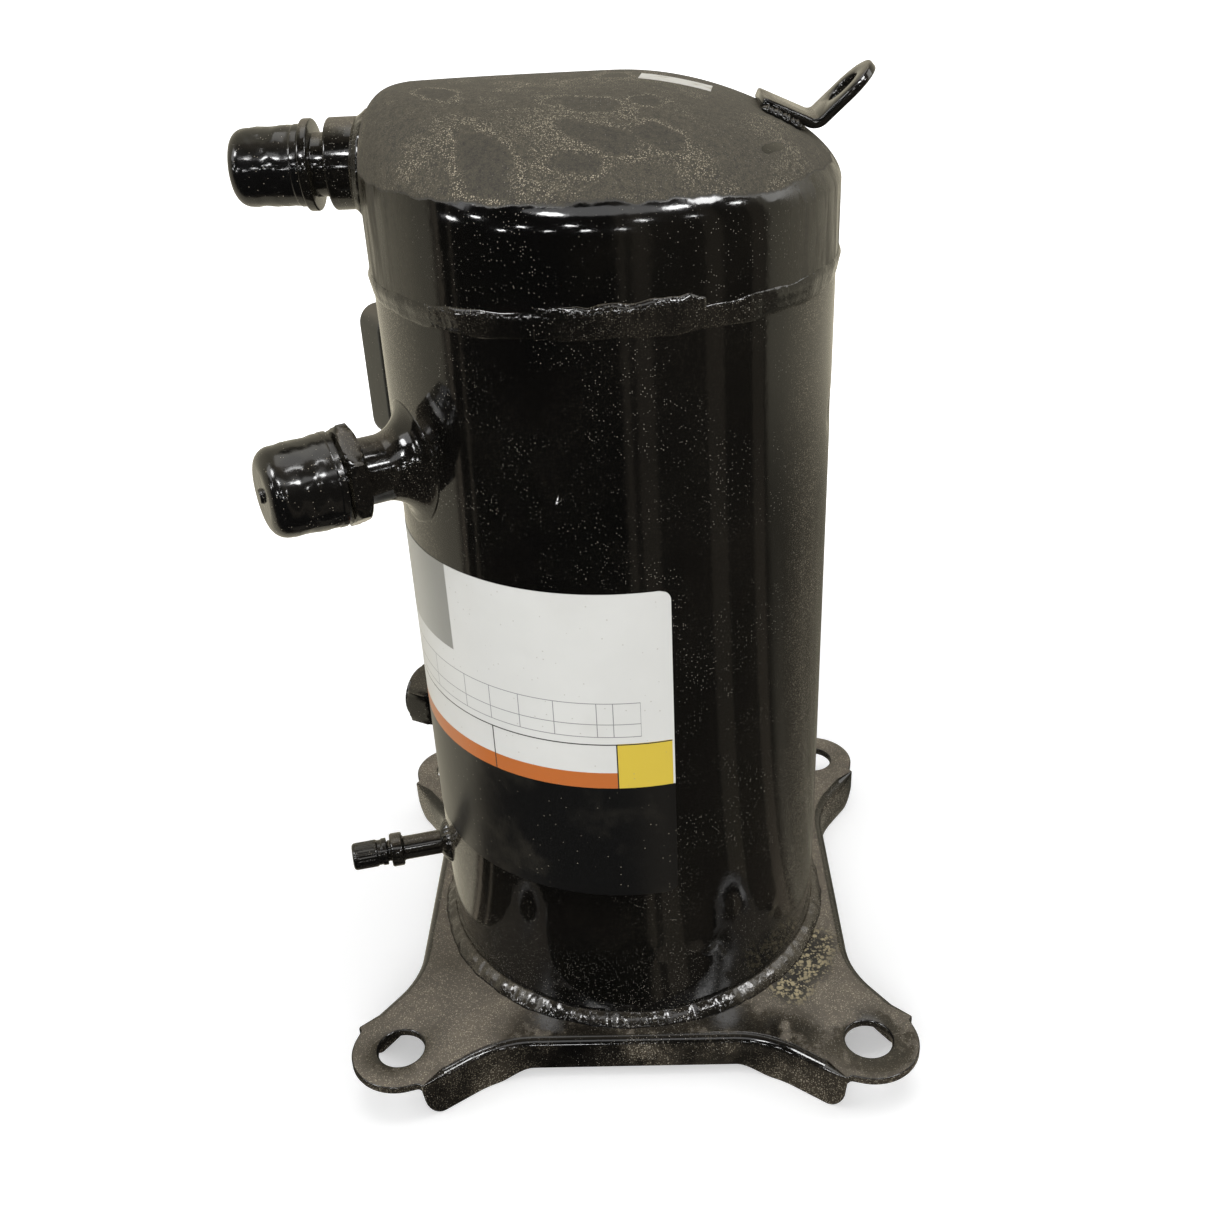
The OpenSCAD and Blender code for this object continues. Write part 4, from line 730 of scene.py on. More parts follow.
# Base plate: a flat pressing with four ears, folded down between them. Each outline point carries a section:
# a quarter bend, a straight leg to its own depth, and back up inside at the plate's thickness
plate = {"top": 20.0, "thick": 3.5, "bend": 5.0, "pitch": 190.5, "hole": 9.5, "ear": 20.3, "side": 94.0,
         "half": 54.0, "cornerAlong": 84.0, "cornerOut": 115.2, "sideLow": 5.0, "inner": 82.55, "steps": 300,
         "soft": 0.7, "thin": 0.75, "slant": (21.2, 30.0), "holeSides": 72, "innerSides": 240}


def makePlate():
    ear, h, edge = plate["pitch"] / 2, plate["half"], plate["side"]
    cornerX, cornerY = plate["cornerAlong"], plate["cornerOut"]
    # one side, from the middle of one ear to the middle of the next, then turned four times
    left = np.radians(np.linspace(225, 288, 22))
    leftEar = np.stack([-ear + plate["ear"] * np.cos(left), -ear + plate["ear"] * np.sin(left)], 1)
    body = rounded([leftEar[-1], (-cornerX - 1.5, -cornerY + 1.6, 1.2), (-cornerX, -cornerY, 2.5), (-h, -edge, 42),
                    (h, -edge, 42), (cornerX, -cornerY, 2.5), (cornerX + 1.5, -cornerY + 1.6, 1.2),
                    leftEar[-1] * [-1, 1]], 0, 60)
    rightEar = leftEar[::-1] * [-1, 1]
    side = np.concatenate([leftEar[:-1], body, rightEar[1:-1]])
    gaps = np.concatenate([[0], np.cumsum(np.linalg.norm(np.diff(side, axis=0), axis=1))])
    even = np.linspace(0, gaps[-1], plate["steps"])
    side = np.stack([np.interp(even, gaps, side[:, 0]), np.interp(even, gaps, side[:, 1])], 1)
    x = np.abs(side[:, 0])
    earPart = np.hypot(x - ear, side[:, 1] + ear) < plate["ear"] + 0.4
    inFrom = np.where(earPart, -1, cornerX - x) / math.cos(math.atan2(*plate["slant"]))  # run along the slant
    turnIn = np.clip(inFrom / 9, 0, 1)
    low = plate["top"] - plate["thick"] * 0.98 - (plate["top"] - plate["thick"]) * np.sqrt(1 - (1 - turnIn) ** 2)
    away = np.clip((x - 42) / 15, 0, 1)
    low = low + (plate["sideLow"] - low) * (1 - away ** 2 * (3 - 2 * away))
    bend = 0.7 + (plate["bend"] - 0.7) * np.clip((inFrom - 1) / 10, 0, 1)
    ring = np.concatenate([np.stack([side[:, 0] * c - side[:, 1] * s, side[:, 0] * s + side[:, 1] * c], 1)
                           for c, s in ((1, 0), (0, 1), (-1, 0), (0, -1))])
    ramp = np.clip((inFrom - 0.5) / 7, 0, 1)
    thin = plate["thin"]  # the folds thin to this inside their sharp corners
    thick = thin + (plate["thick"] - thin) * ramp * ramp * (3 - 2 * ramp)
    low, bend, thick = np.tile(low, 4), np.tile(bend, 4), np.tile(thick, 4)
    ahead, behind = np.roll(ring, -1, 0) - ring, ring - np.roll(ring, 1, 0)
    stepAhead, stepBehind = (np.linalg.norm(v, axis=1, keepdims=True) for v in (ahead, behind))
    along = ahead / stepAhead * stepBehind + behind / stepBehind * stepAhead  # the tangent, exact on arcs and lines
    along /= np.linalg.norm(along, axis=1, keepdims=True)
    inward = np.stack([-along[:, 1], along[:, 0]], 1)
    top, floorZ = plate["top"], plate["top"] - plate["thick"]
    rows = []  # (distance in from the outline, height)
    for q in np.linspace(0, math.pi / 2, 7):
        rows.append((bend * (1 - math.sin(q)), top - bend * (1 - math.cos(q))))
    reach = top - bend
    for k in (0.25, 0.5, 0.75, 1.0):
        rows.append((0 * bend, reach + (low + 0.5 - reach) * k))
    rows += [(0.15 + 0 * bend, low + 0.15), (np.minimum(0.5, thick * 0.45), low),
             (np.maximum(thick - 0.5, thick * 0.55), low), (thick - 0.1, low + 0.2)]
    under = np.maximum(bend - thick, 0.3)
    for k in (0.4, 1.0):
        rows.append((thick, np.minimum(low + 0.3 + (floorZ - under - low - 0.3) * k, floorZ)))
    for q in np.linspace(0.3, math.pi / 2, 4):
        rows.append((thick + under * (1 - math.cos(q)), np.minimum(floorZ - under * (1 - math.sin(q)), floorZ)))
    strip = np.stack([np.column_stack([ring + inward * d[:, None], z]) for d, z in rows])
    points, faces = [strip.reshape(-1, 3)], [gridFaces(len(rows), len(ring), True)]
    made = strip.size // 3
    sides, innerSides = plate["holeSides"], plate["innerSides"]
    unit = around(1.0, circle(sides), 0.0)[:, :2]
    middle = around(plate["inner"], circle(innerSides), 0.0)[:, :2]
    ears = [np.array([sx, sy]) * ear for sx, sy in ((-1, -1), (1, -1), (1, 1), (-1, 1))]
    soft = plate["soft"]
    for row, z in ((0, top), (len(rows) - 1, floorZ)):
        rings = [strip[row][:, :2], middle, *[e + (plate["hole"] + soft) * unit for e in ears]]
        flat, tris = filled(rings)
        points.append(np.column_stack([flat, np.full(len(flat), z)]))
        faces.append(tris + made)
        made += len(flat)
    # walls of the holes, with soft edges, and of the round opening for the shell
    wall = [(soft, top), (soft * 0.3, top - soft * 0.3), (0, top - soft), (0, floorZ + soft),
            (soft * 0.3, floorZ + soft * 0.3), (soft, floorZ)]
    for e in ears:
        grid = np.stack([np.column_stack([e + (plate["hole"] + d) * unit, np.full(sides, z)]) for d, z in wall])
        points.append(grid.reshape(-1, 3))
        faces.append(gridFaces(len(wall), sides, True, made))
        made += grid.size // 3
    grid = np.stack([np.column_stack([middle, np.full(innerSides, z)]) for z in (top, floorZ)])
    points.append(grid.reshape(-1, 3))
    faces.append(gridFaces(2, innerSides, True, made))
    piece("basePlate", np.concatenate(points), faces, paint["base"], stands=["base_plate"], sharp=50, flat=(1, 2))


makePlate()
print("base plate made")


# the radius of a hexagon at each angle, measured across its flats
def hexRadius(flats, a):
    return flats / 2 / np.cos((a + math.pi / 6) % (math.pi / 3) - math.pi / 6)


# a row with a negative radius is cut to the hexagon, chamfered by a cone of that radius;
# rows between the thread's ends are lowered by a cosine that runs round as a helix
def fitted(flats=None, thread=None):
    def shape(along, r, a):
        wide = r * np.ones_like(a)
        if flats:
            wide = np.where(r < 0, np.minimum(hexRadius(flats, a), -r), wide)
        if thread:
            start, end, pitch, deep = thread
            inside = np.clip((along - start) / pitch, 0, 1) * np.clip((end - along) / pitch, 0, 1)
            wide = wide - np.where(r > 0, deep * inside * (0.5 + 0.5 * np.cos(tau * along / pitch - a)), 0)
        return wide
    return shape


# rows of a hexagonal collar between two faces, chamfered at both
def hexRows(start, end, flats):
    rim = flats / 2
    return [(start, -rim), (start + 0.6, -rim - 0.9), (start + 1.6, -rim - 3), (end - 1.6, -rim - 3),
            (end - 0.6, -rim - 0.9), (end, -rim)]


def threadRows(start, end, radius, step=0.22):
    return [(x, radius) for x in np.arange(start, end, step)]


# A fillet round a tube: its foot follows the shell's cylinder and its top lies on the tube. The section between is
# a quarter ellipse, hollow where it flares like a trumpet and bulging where it is a plain bead
def collar(name, bearing, height, tube, foot, rise, seed, hollow, rough, look="weld"):
    sides = 200
    a = circle(sides)[None, :]
    q = np.linspace(0, math.pi / 2, 18)[:, None]
    wide = foot + uneven(a, seed, [(2, rough), (5, rough), (11, rough * 0.6), (23, rough * 0.4)])
    inAs = hollow * np.sin(q) + (1 - hollow) * (1 - np.cos(q))
    upAs = hollow * (1 - np.cos(q)) + (1 - hollow) * np.sin(q)
    r = wide + (tube - 0.1 - wide) * inAs + uneven(a, seed + 1, [(17, 0.12), (29, 0.1)]) * rough * np.sin(2 * q)
    x, y = r * np.cos(a), r * np.sin(a)
    ground = np.sqrt(shell["radius"] ** 2 - x ** 2)
    top = shell["radius"] + rise
    band = np.stack([x, y, ground + (top - ground) * upAs], -1)
    root = around(wide, a, np.sqrt(shell["radius"] ** 2 - (wide * np.cos(a)) ** 2) - 1.2)
    inner, lid = around(tube - 1, a, shell["radius"] - 3), around(tube - 1, a, top - 0.3)
    grid = np.concatenate([inner, root, band, lid, inner])
    piece(name, outward(grid, bearing, height), [gridFaces(len(grid), sides, True)], paint[look])


# Push-on transit cap: drawn over the thread, a little tapered, round at the end, with a moulding nub in the middle
def transitCap(name, body, bearing, height, start, inside, wall, length, draft, seed, stands):
    r, end = inside + wall, start + length
    outer = rounded([(start, inside), (start, r + 0.25), (start + 2.4, r + 0.25), (start + 2.8, r),
                     (end, r - draft, 6.2), (end, 2.9, 0.5), (end + 1.1, 2.4, 0.5),
                     (end + 1.1, 0)], 0.45, 8)
    within = np.array([(end - wall - 1.6, 0), (end - wall - 1.6, inside - 0.4), (end - wall - 2, inside)])
    profile = np.concatenate([within, divided(outer, 8)])

    def shape(along, r, a):
        t = np.clip((along - start - 3) / 4, 0, 1) * np.clip((end - 5 - along) / 5, 0, 1) * (r > inside + 0.3)
        dimples = uneven(a + along * 0.21, seed, [(3, 0.20), (5, 0.14), (9, 0.08)])
        return r + t * (0.12 * np.sin(tau * along / 2.1 + a) + dimples)

    lathe(name, profile, bearing, height, plastic["cap"], 96, shape, 50, body=body, slot="black_plastic",
          stands=stands)


# Suction stub: tube through the shell, wrench hexagon, short neck and thread
suction = {"bearing": 209.0, "height": 255.6, "inner": 75.5, "bore": 9.8, "tube": 12.0, "hexAt": 101.5,
           "hexEnd": 108.0, "flats": 33.5, "seat": 109.5, "thread": 14.6, "end": 128.5, "foot": 22.5}


def makeSuction():
    s = suction
    profile = np.array([(s["inner"], s["bore"]), (s["inner"], s["tube"]), (s["hexAt"], s["tube"]),
                        *hexRows(s["hexAt"], s["hexEnd"], s["flats"]), (s["hexEnd"], s["tube"]), (s["seat"], s["tube"]),
                        *threadRows(s["seat"], s["end"] - 1, s["thread"]), (s["end"] - 1, s["thread"]),
                        (s["end"], s["thread"] - 1), (s["end"], s["bore"] + 0.4), (s["end"] - 0.4, s["bore"]),
                        (s["inner"], s["bore"])])
    lathe("suctionStub", profile, s["bearing"], s["height"], paint["fitting"], 144,
          fitted(s["flats"], (s["seat"], s["end"], 1.6, 0.9)), 35, stands=["suction_spigot"])
    collar("suctionWeld", s["bearing"], s["height"], s["tube"], s["foot"], 11.5, 31, 1.0, 0.08, "fitting")
    transitCap("suctionCap", "suction_cap", s["bearing"], s["height"], s["seat"], 14.9, 1.9, 26, 0.9, 41,
               ["suction_cap"])


# Discharge stub: round boss on the cap's side, necked down behind a thin flange, then the thread
discharge = {"bearing": 180.0, "height": 351.4, "boss": 15.4, "neckAt": 92.9, "neck": 10.7, "flangeAt": 98.4,
             "seat": 101.9, "thread": 11.3, "end": 120.9, "bore": 7.5, "room": 10.5, "roomEnd": 84.3}


def makeDischarge():
    d = discharge
    start = -1000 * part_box("discharge_spigot")[1][0]  # the inner end, from the solid's own box
    profile = rounded([(start, d["room"], 0), (start, 12.5, 0), (80.2, 12.5, 0), (80.2, d["boss"], 0),
                       (d["neckAt"], d["boss"], 0.9), (d["neckAt"], d["neck"], 0.5), (d["flangeAt"], d["neck"], 0.5),
                       (d["flangeAt"], d["boss"], 0.7),
                       (d["seat"], d["boss"], 0.7), (d["seat"], d["thread"], 0)], 0, 5)
    rest = np.array([*threadRows(d["seat"] + 0.2, d["end"] - 1, d["thread"]), (d["end"] - 1, d["thread"]),
                     (d["end"], d["thread"] - 1), (d["end"], d["bore"]), (d["roomEnd"], d["bore"]),
                     (d["roomEnd"], d["room"]), (start, d["room"])])
    lathe("dischargeStub", np.concatenate([profile, rest]), d["bearing"], d["height"], paint["fitting"], 120,
          fitted(None, (d["seat"], d["end"], 1.5, 0.8)), 35, stands=["discharge_spigot"])
    # weld round the boss, whose foot follows the cap: the place on the dome is found by halving the interval
    sides = 160
    a = circle(sides)

    def ground(r):
        y, z = r * np.cos(a), d["height"] + r * np.sin(a)
        low, high = np.full_like(a, -cap["radius"]), np.full_like(a, -30.0)
        edge = -np.sqrt(cap["radius"] ** 2 - y ** 2)
        low = np.maximum(low, edge + 1e-6)
        for _ in range(40):
            mid = (low + high) / 2
            under = domeHeight(mid, y) < z
            low, high = np.where(under, mid, low), np.where(under, high, mid)
        return np.where(z <= cap["knuckle"], -edge, -low)

    foot = 2.6 + uneven(a, 51, [(3, 0.3), (8, 0.3), (19, 0.2)])
    rows = []
    for t, lift in ((0, -1.5), (0, 0.0), (0.15, 0.8), (0.4, 1.3), (0.7, 1.9), (1.0, 3.0)):
        r = d["boss"] + foot * (1 - t) - 0.1 * (t == 1)
        rows.append(around(r, a, ground(r) + lift))
    for lift in (2, -1.5):  # back inside the boss
        rows.append(around(d["boss"] - 1, a, ground(d["boss"] + 0 * a) + lift))
    grid = np.stack(rows + rows[:1])
    piece("dischargeWeld", outward(grid, d["bearing"], d["height"]), [gridFaces(len(grid), sides, True)],
          paint["weld"])
    transitCap("dischargeCap", "discharge_cap", d["bearing"], d["height"], 102.2, 11.6, 1.9, 25, 0.5, 43,
               ["discharge_cap"])


# Service port: thin tube with a stop ring, its own thread and a small screw cap
port = {"bearing": 194.0, "height": 66.3, "inner": 75.5, "tube": 5.2, "bore": 2.6, "ringAt": 102.5, "ring": 7.3,
        "seat": 108.0, "thread": 4.6, "end": 120.0}


def makePort():
    p = port
    head = rounded([(p["inner"], p["bore"]), (p["inner"], p["tube"]), (p["ringAt"], p["tube"], 0.8),
                    (p["ringAt"], p["ring"], 1.0), (p["seat"], p["ring"], 1.0), (p["seat"], p["thread"], 0.3),
                    (p["seat"] + 0.5, p["thread"])], 0, 6)
    rest = np.array([*threadRows(p["seat"] + 0.6, p["end"] - 0.5, p["thread"], 0.16), (p["end"], p["thread"] - 0.5),
                     (p["end"], p["bore"]), (p["inner"], p["bore"])])
    lathe("servicePort", np.concatenate([head, rest]), p["bearing"], p["height"], paint["fitting"], 72,
          fitted(None, (p["seat"] + 0.5, p["end"], 1.1, 0.5)), 35, stands=["service_port"])
    collar("serviceWeld", p["bearing"], p["height"], p["tube"], 9.0, 3.6, 61, 0.3, 0.35)
    start, end, r = 109.5, 124.5, 5.9
    outer = rounded([(start, 4.9), (start, r), (start + 2, r), (start + 2.6, r - 0.45), (start + 4, r - 0.45),
                     (start + 4.6, r), (end, r, 1.4), (end, 0)], 0.3, 5)
    within = np.array([(end - 2, 0), (end - 2, 4.9), (start, 4.9)])

    def grip(along, r, a):  # shallow flutes for the fingers
        t = np.clip((along - start - 4.6) / 0.8, 0, 1) * np.clip((end - 1.6 - along) / 0.8, 0, 1) * (r > 5.5)
        return r - t * 0.22 * (0.5 + 0.5 * np.cos(24 * a))

    profile = np.concatenate([within, divided(outer, 12)])
    lathe("serviceCap", profile, p["bearing"], p["height"], plastic["cap"], 144, grip, 50, body="service_cap",
          slot="black_plastic", stands=["service_cap"])


# Sight glass: boss on the shell, a gasket, a hexagon body and a lens in its mouth
sight = {"bearing": 153.0, "height": 100.0, "boss": 11.5, "bore": 8.0, "bossEnd": 95.5, "bodyAt": 96.5,
         "bodyEnd": 110.5, "foot": 79.5, "flats": 27.0, "lip": 9.2, "lens": 5.0}


def makeSight():
    g = sight
    loop = [(g["foot"], g["bore"]), (g["foot"], g["boss"]), (g["bossEnd"], g["boss"], 0.8), (g["bossEnd"], g["bore"]),
            (g["foot"], g["bore"])]
    lathe("sightBoss", rounded(loop, 0.3), g["bearing"], g["height"], paint["fitting"], stands=["sight_glass_boss"])
    collar("sightWeld", g["bearing"], g["height"], g["boss"], 15.2, 4.0, 71, 0.3, 0.4)
    loop = [(g["bossEnd"], g["bore"]), (g["bossEnd"], g["boss"] + 1, 0.4), (g["bodyAt"], g["boss"] + 1, 0.4),
            (g["bodyAt"], g["bore"]), (g["bossEnd"], g["bore"])]
    lathe("sightGasket", rounded(loop, 0.2, 4), g["bearing"], g["height"], metal["rubber"], slot="black_rubber",
          stands=["sight_glass_gasket"])
    end, rim = g["bodyEnd"], g["flats"] / 2 - 1
    profile = np.array([(g["bodyAt"], g["bore"]), *hexRows(g["bodyAt"], end - 2, g["flats"]), (end - 2, rim),
                        (end - 0.4, rim), (end, rim - 0.4), (end, g["lip"] + 0.4), (end - 0.4, g["lip"]),
                        (end - g["lens"], g["lip"]), (end - g["lens"], g["bore"]), (g["bodyAt"], g["bore"])])
    lathe("sightBody", profile, g["bearing"], g["height"], paint["fitting"], 120, fitted(g["flats"]), 35,
          stands=["sight_glass_body"])
    t = np.linspace(0, 1, 8)[:, None]
    crown = np.concatenate([end - 1.6 + np.sqrt(1 - t ** 2) * 0.9, t * (g["lip"] - 0.1)], 1)
    lens = np.concatenate([crown, [(end - g["lens"] + 0.2, g["lip"] - 0.1), (end - g["lens"] + 0.2, 0)]])
    lathe("sightLens", lens, g["bearing"], g["height"], glass, 72, slot="sight_glass", stands=["sight_glass_lens"])


# Terminal cover: a tray of rounded rectangles stacked outwards, with a sunk panel on its face
cover = {"bearing": 126.0, "height": 253.0, "wide": 47.3, "tall": 29.3, "corner": 8.3, "edge": 3.2,
         "inside": [(6.0, 114.5), (6.0, 106.8), (2.3, 106.8), (2.0, 106.5), (2.0, 98.9), (1.6, 98.5), (0.4, 98.5),
                    (0.0, 98.9), (0.0, 104.0), (0.0, 109.0), (0.3, 115.2)],
         "face": [(7.0, 118.4), (7.5, 118.2), (8.1, 117.4), (8.6, 117.2)]}


def makeCover():
    c = cover

    def outline(inset):
        w, h, r = c["wide"] - inset, c["tall"] - inset, max(c["corner"] - inset, 0.8)
        q = np.linspace(0, math.pi / 2, 9)
        corner = np.stack([np.cos(q), np.sin(q)], 1) * r
        one = corner + [w - r, h - r]
        two = corner[::-1] * [-1, 1] + [r - w, h - r]
        return np.concatenate([one, two, -one, -two])

    rows, edge = list(c["inside"]), c["edge"]  # (distance in from the outline, distance out from the axis)
    inset, out = rows[-1]
    rows += [(inset + edge * (1 - math.cos(q)), out + edge * math.sin(q)) for q in np.linspace(0.15, math.pi / 2, 8)]
    rows += c["face"]
    n = len(outline(0))
    points = np.concatenate([np.column_stack([outline(d), np.full(n, z)]) for d, z in rows])
    lids = [np.arange(n)[None, :], (len(rows) - 1) * n + np.arange(n)[None, :]]
    piece("terminalCover", outward(points, c["bearing"], c["height"]), [gridFaces(len(rows), n, True), *lids],
          plastic["box"], "terminal_cover", "box_plastic", ["terminal_cover"], 40, flat=(1, 2))


# Lifting lug: a strip lying on the dome's slope that bends up, its outline laid flat and carried along the bend
lug = {"at": 57.0, "slope": 24.28, "lift": 0.25, "back": 3.0, "front": 18.5, "long": 27.0, "rise": 66.28,
       "thick": 3.3, "beadFrom": -2.5, "beadLong": 15.5, "beadFat": 1.9, "half": 12.0, "hole": 6.0,
       "holeAt": 15.0, "bend": 6.0, "tip": 12.3, "soft": 0.7}


def makeLug():
    b = math.radians(lug["rise"])
    cutOff = lug["bend"] * math.tan(b / 2)
    u1 = lug["front"] - cutOff
    u2 = u1 + lug["bend"] * b
    u3 = u2 + lug["long"] - cutOff

    def carried(u, v, lift):  # place of a flat point after the bend, lifted off the under face
        q = np.clip((u - u1) / lug["bend"], 0, b)
        on = np.maximum(u - u2, 0)
        x = np.minimum(u, u1) + lug["bend"] * np.sin(q) + on * np.cos(b) - lift * np.sin(q)
        z = lug["bend"] * (1 - np.cos(q)) + on * np.sin(b) + lift * np.cos(q)
        return np.stack([x, v, z], -1)

    bends = np.linspace(u1, u2, 11)
    back, half = lug["back"], lug["half"]
    plain = np.concatenate([np.linspace(-back + 1.5, u1, 6)[:-1], bends, np.linspace(u2, u3 - lug["tip"], 4)[1:]])
    q = np.linspace(math.pi / 2, -math.pi / 2, 25)[1:-1]
    tip = np.stack([u3 - lug["tip"] + lug["tip"] * np.cos(q), lug["half"] * np.sin(q)], 1)
    up = np.stack([plain, np.full(len(plain), lug["half"])], 1)
    heel = np.array([(-back + 0.4, -half + 0.4), (-back, -half + 1.5), (-back, half - 1.5), (-back + 0.4, half - 0.4)])
    ring = np.concatenate([up, tip, up[::-1] * [1, -1], heel])
    n, m = len(ring), len(plain)
    eyeSides = 40
    a = circle(eyeSides)
    eye = np.stack([u2 + lug["holeAt"] - cutOff + lug["hole"] * np.cos(a), lug["hole"] * np.sin(a)], 1)
    rungs = [(k, 2 * m + len(tip) - 1 - k) for k in range(4, m - 3)]  # ties across the bend
    along = np.roll(ring, -1, 0) - np.roll(ring, 1, 0)
    along /= np.linalg.norm(along, axis=1, keepdims=True)
    inward = np.stack([along[:, 1], -along[:, 0]], 1)
    out = (eye - eye.mean(0)) / lug["hole"]
    s, t = lug["soft"], lug["thick"]
    rows = [(s, 0), (s * 0.3, s * 0.3), (0, s), (0, t - s), (s * 0.3, t - s * 0.3), (s, t)]
    edge = np.stack([carried(*(ring + inward * d).T, h) for d, h in rows])
    bore = np.stack([carried(*(eye + out * d).T, h) for d, h in rows])
    points = [edge.reshape(-1, 3), bore.reshape(-1, 3)]
    faces = [gridFaces(len(rows), n, True), gridFaces(len(rows), eyeSides, True, len(rows) * n)]
    made = len(rows) * (n + eyeSides)
    for h in (0, t):
        flat, tris = filled([ring + inward * s, eye + out * s], rungs)
        points.append(carried(flat[:, 0], flat[:, 1], h))
        faces.append(tris + made)
        made += len(flat)
    local = np.concatenate(points)
    w = math.radians(lug["slope"])
    top = domeHeight(np.array([lug["at"]]), np.array([0.0]))[0]

    def seated(p):
        p = p + [0, 0, lug["lift"]]
        return np.stack([p[:, 0] * math.cos(w) + p[:, 2] * math.sin(w) + lug["at"], p[:, 1],
                         -p[:, 0] * math.sin(w) + p[:, 2] * math.cos(w) + top], 1)

    piece("liftingLug", seated(local), faces, paint["fitting"], stands=["lifting_lug"], sharp=45)
    # a bead down each long side of the foot: a round section that swells and fades, sunk in the dome
    long, sides = 60, 14
    u, q = np.linspace(0, 1, long)[None, :], circle(sides)[:, None]
    swell = np.sqrt(np.clip(np.minimum(u * 8, (1 - u) * 8), 0.02, 1))
    x = lug["beadFrom"] + lug["beadLong"] * u
    k = np.arange(long - 1)
    last = (sides - 1) * long  # the last row, closed on to the first
    ends = np.arange(sides)[None, :] * long
    faces = [gridFaces(sides, long), np.stack([k + last, k, k + 1, k + 1 + last], 1), ends, ends + long - 1]
    for side in (-1, 1):
        fat = (lug["beadFat"] + uneven(u * 9, 81 + side, [(3, 0.25), (7, 0.2), (13, 0.15)])) * swell
        band = np.stack([x + 0 * q, side * (half + 0.3) + fat * np.cos(q), 0.4 + fat * 0.8 * np.sin(q)], -1)
        points = seated(band.reshape(-1, 3))
        drop = domeHeight(points[:, 0], points[:, 1]) - top + (points[:, 0] - lug["at"]) * math.tan(w)
        points[:, 2] += np.minimum(drop, 0) * 0.9
        piece("lugBead%d" % (side + 1), points, faces, paint["weld"])


# Rating panel: a thin sheet stuck round the shell, corners rounded; every point keeps its own flat place on the sheet
panel = {"right": 284.0, "left": 165.0, "low": 88.0, "high": 222.0, "corner": 4.0, "off": 0.16, "sunk": 0.6,
         "cols": 160}


def makePanel():
    tall, corner = panel["high"] - panel["low"], panel["corner"]
    v = np.unique(np.concatenate([np.linspace(0, corner, 7), np.linspace(corner, tall - corner, 24),
                                  np.linspace(tall - corner, tall, 7)]))[:, None]
    wide = math.radians(panel["right"] - panel["left"]) * shell["radius"]
    near = np.clip(corner - np.minimum(v, tall - v), 0, None)
    inset = corner - np.sqrt(corner ** 2 - near ** 2)
    u = inset + (wide - 2 * inset) * np.linspace(0, 1, panel["cols"])[None, :]
    a = math.radians(panel["right"]) - u / shell["radius"]
    radii = (shell["radius"] + panel["off"], shell["radius"] - panel["sunk"])
    points = np.concatenate([around(r, a, panel["low"] + v).reshape(-1, 3) for r in radii])
    where = np.stack([u, v + 0 * u, 0 * u], -1).reshape(-1, 3)
    piece("ratingPanel", points, sheetFaces(*a.shape), paint["panel"], slot="black_plastic", sharp=50,
          lay=np.concatenate([where, where]))


# Blank paper tab on the dome, laid over its curve
tab = {"x": 27.0, "y": -2.5, "long": 24.0, "wide": 12.0, "turn": -6.0, "off": 0.26, "sunk": 0.38}


def makeTab():
    s, t = np.meshgrid(np.linspace(-0.5, 0.5, 25), np.linspace(-0.5, 0.5, 13))
    w = math.radians(tab["turn"])
    x = tab["x"] + tab["long"] * s * math.cos(w) - tab["wide"] * t * math.sin(w)
    y = tab["y"] + tab["long"] * s * math.sin(w) + tab["wide"] * t * math.cos(w)
    curl = 0.5 * np.clip(s - 0.42, 0, 1) * 10 * np.clip(t - 0.3, 0, 1)
    z = domeHeight(x, y)
    points = np.stack([[x, y, z + tab["off"] + curl], [x, y, z - tab["sunk"]]]).transpose(0, 2, 3, 1).reshape(-1, 3)
    piece("paperTab", points, sheetFaces(*x.shape), paint["tab"], slot="black_plastic", sharp=50)


for make in (makeSuction, makeDischarge, makePort, makeSight, makeCover, makeLug, makePanel, makeTab):
    make()
print("fittings, lug and panel made")


# the hall round the object: pale behind and beside it, dark in front; each lamp of the hall is x, y, z and a width
stage = {"place": (0.0142, -0.4699, 0.4361), "yaw": -2.39, "pitch": 29.44, "roll": 3.01, "lens": 38.65, "floor": 9.0,
         "floorGrey": 0.86, "hallAim": (0, -0.08, 0.35), "hallPower": 165.0,
         "hallLamps": [(-1.45, -0.60, 0.43, 0.08), (-1.25, -0.88, 0.68, 0.07), (-0.48, -1.23, 1.19, 0.16),
                       (0.84, -1.00, 1.20, 0.16), (1.33, -0.49, 0.99, 0.08), (-1.07, -1.16, 0.35, 0.06),
                       (-0.86, -1.31, 0.56, 0.07), (-0.58, -1.47, 0.44, 0.05), (-0.32, -1.50, 0.71, 0.07),
                       (-0.14, -1.57, 0.45, 0.06), (0.28, -1.55, 0.45, 0.05), (0.52, -1.42, 0.80, 0.07),
                       (1.05, -1.10, 0.75, 0.05)]}


# turns and places an object by its three axes, the last of which points away from what it faces
def placed(thing, x, y, z, place):
    m = np.eye(4)
    m[:3, 0], m[:3, 1], m[:3, 2], m[:3, 3] = x, y, z, place
    thing.matrix_world = Matrix(m.tolist())


# the camera at the photograph's angle: yaw, then pitch, then roll about the line of sight
def makeCamera():
    yaw, pitch, roll = (math.radians(stage[k]) for k in ("yaw", "pitch", "roll"))
    ahead = np.array([math.sin(yaw) * math.cos(pitch), math.cos(yaw) * math.cos(pitch), -math.sin(pitch)])
    right = np.array([math.cos(yaw), -math.sin(yaw), 0])
    down = np.cross(ahead, right)
    data = bpy.data.cameras.new("photoCamera")
    data.lens, data.sensor_width = stage["lens"], 36.0
    data.clip_start, data.clip_end = 0.01, 60
    camera = bpy.data.objects.new("photoCamera", data)
    bpy.context.scene.collection.objects.link(camera)
    x = math.cos(roll) * right + math.sin(roll) * down
    y = math.sin(roll) * right - math.cos(roll) * down
    placed(camera, x, y, -ahead, stage["place"])
    bpy.context.scene.camera = camera


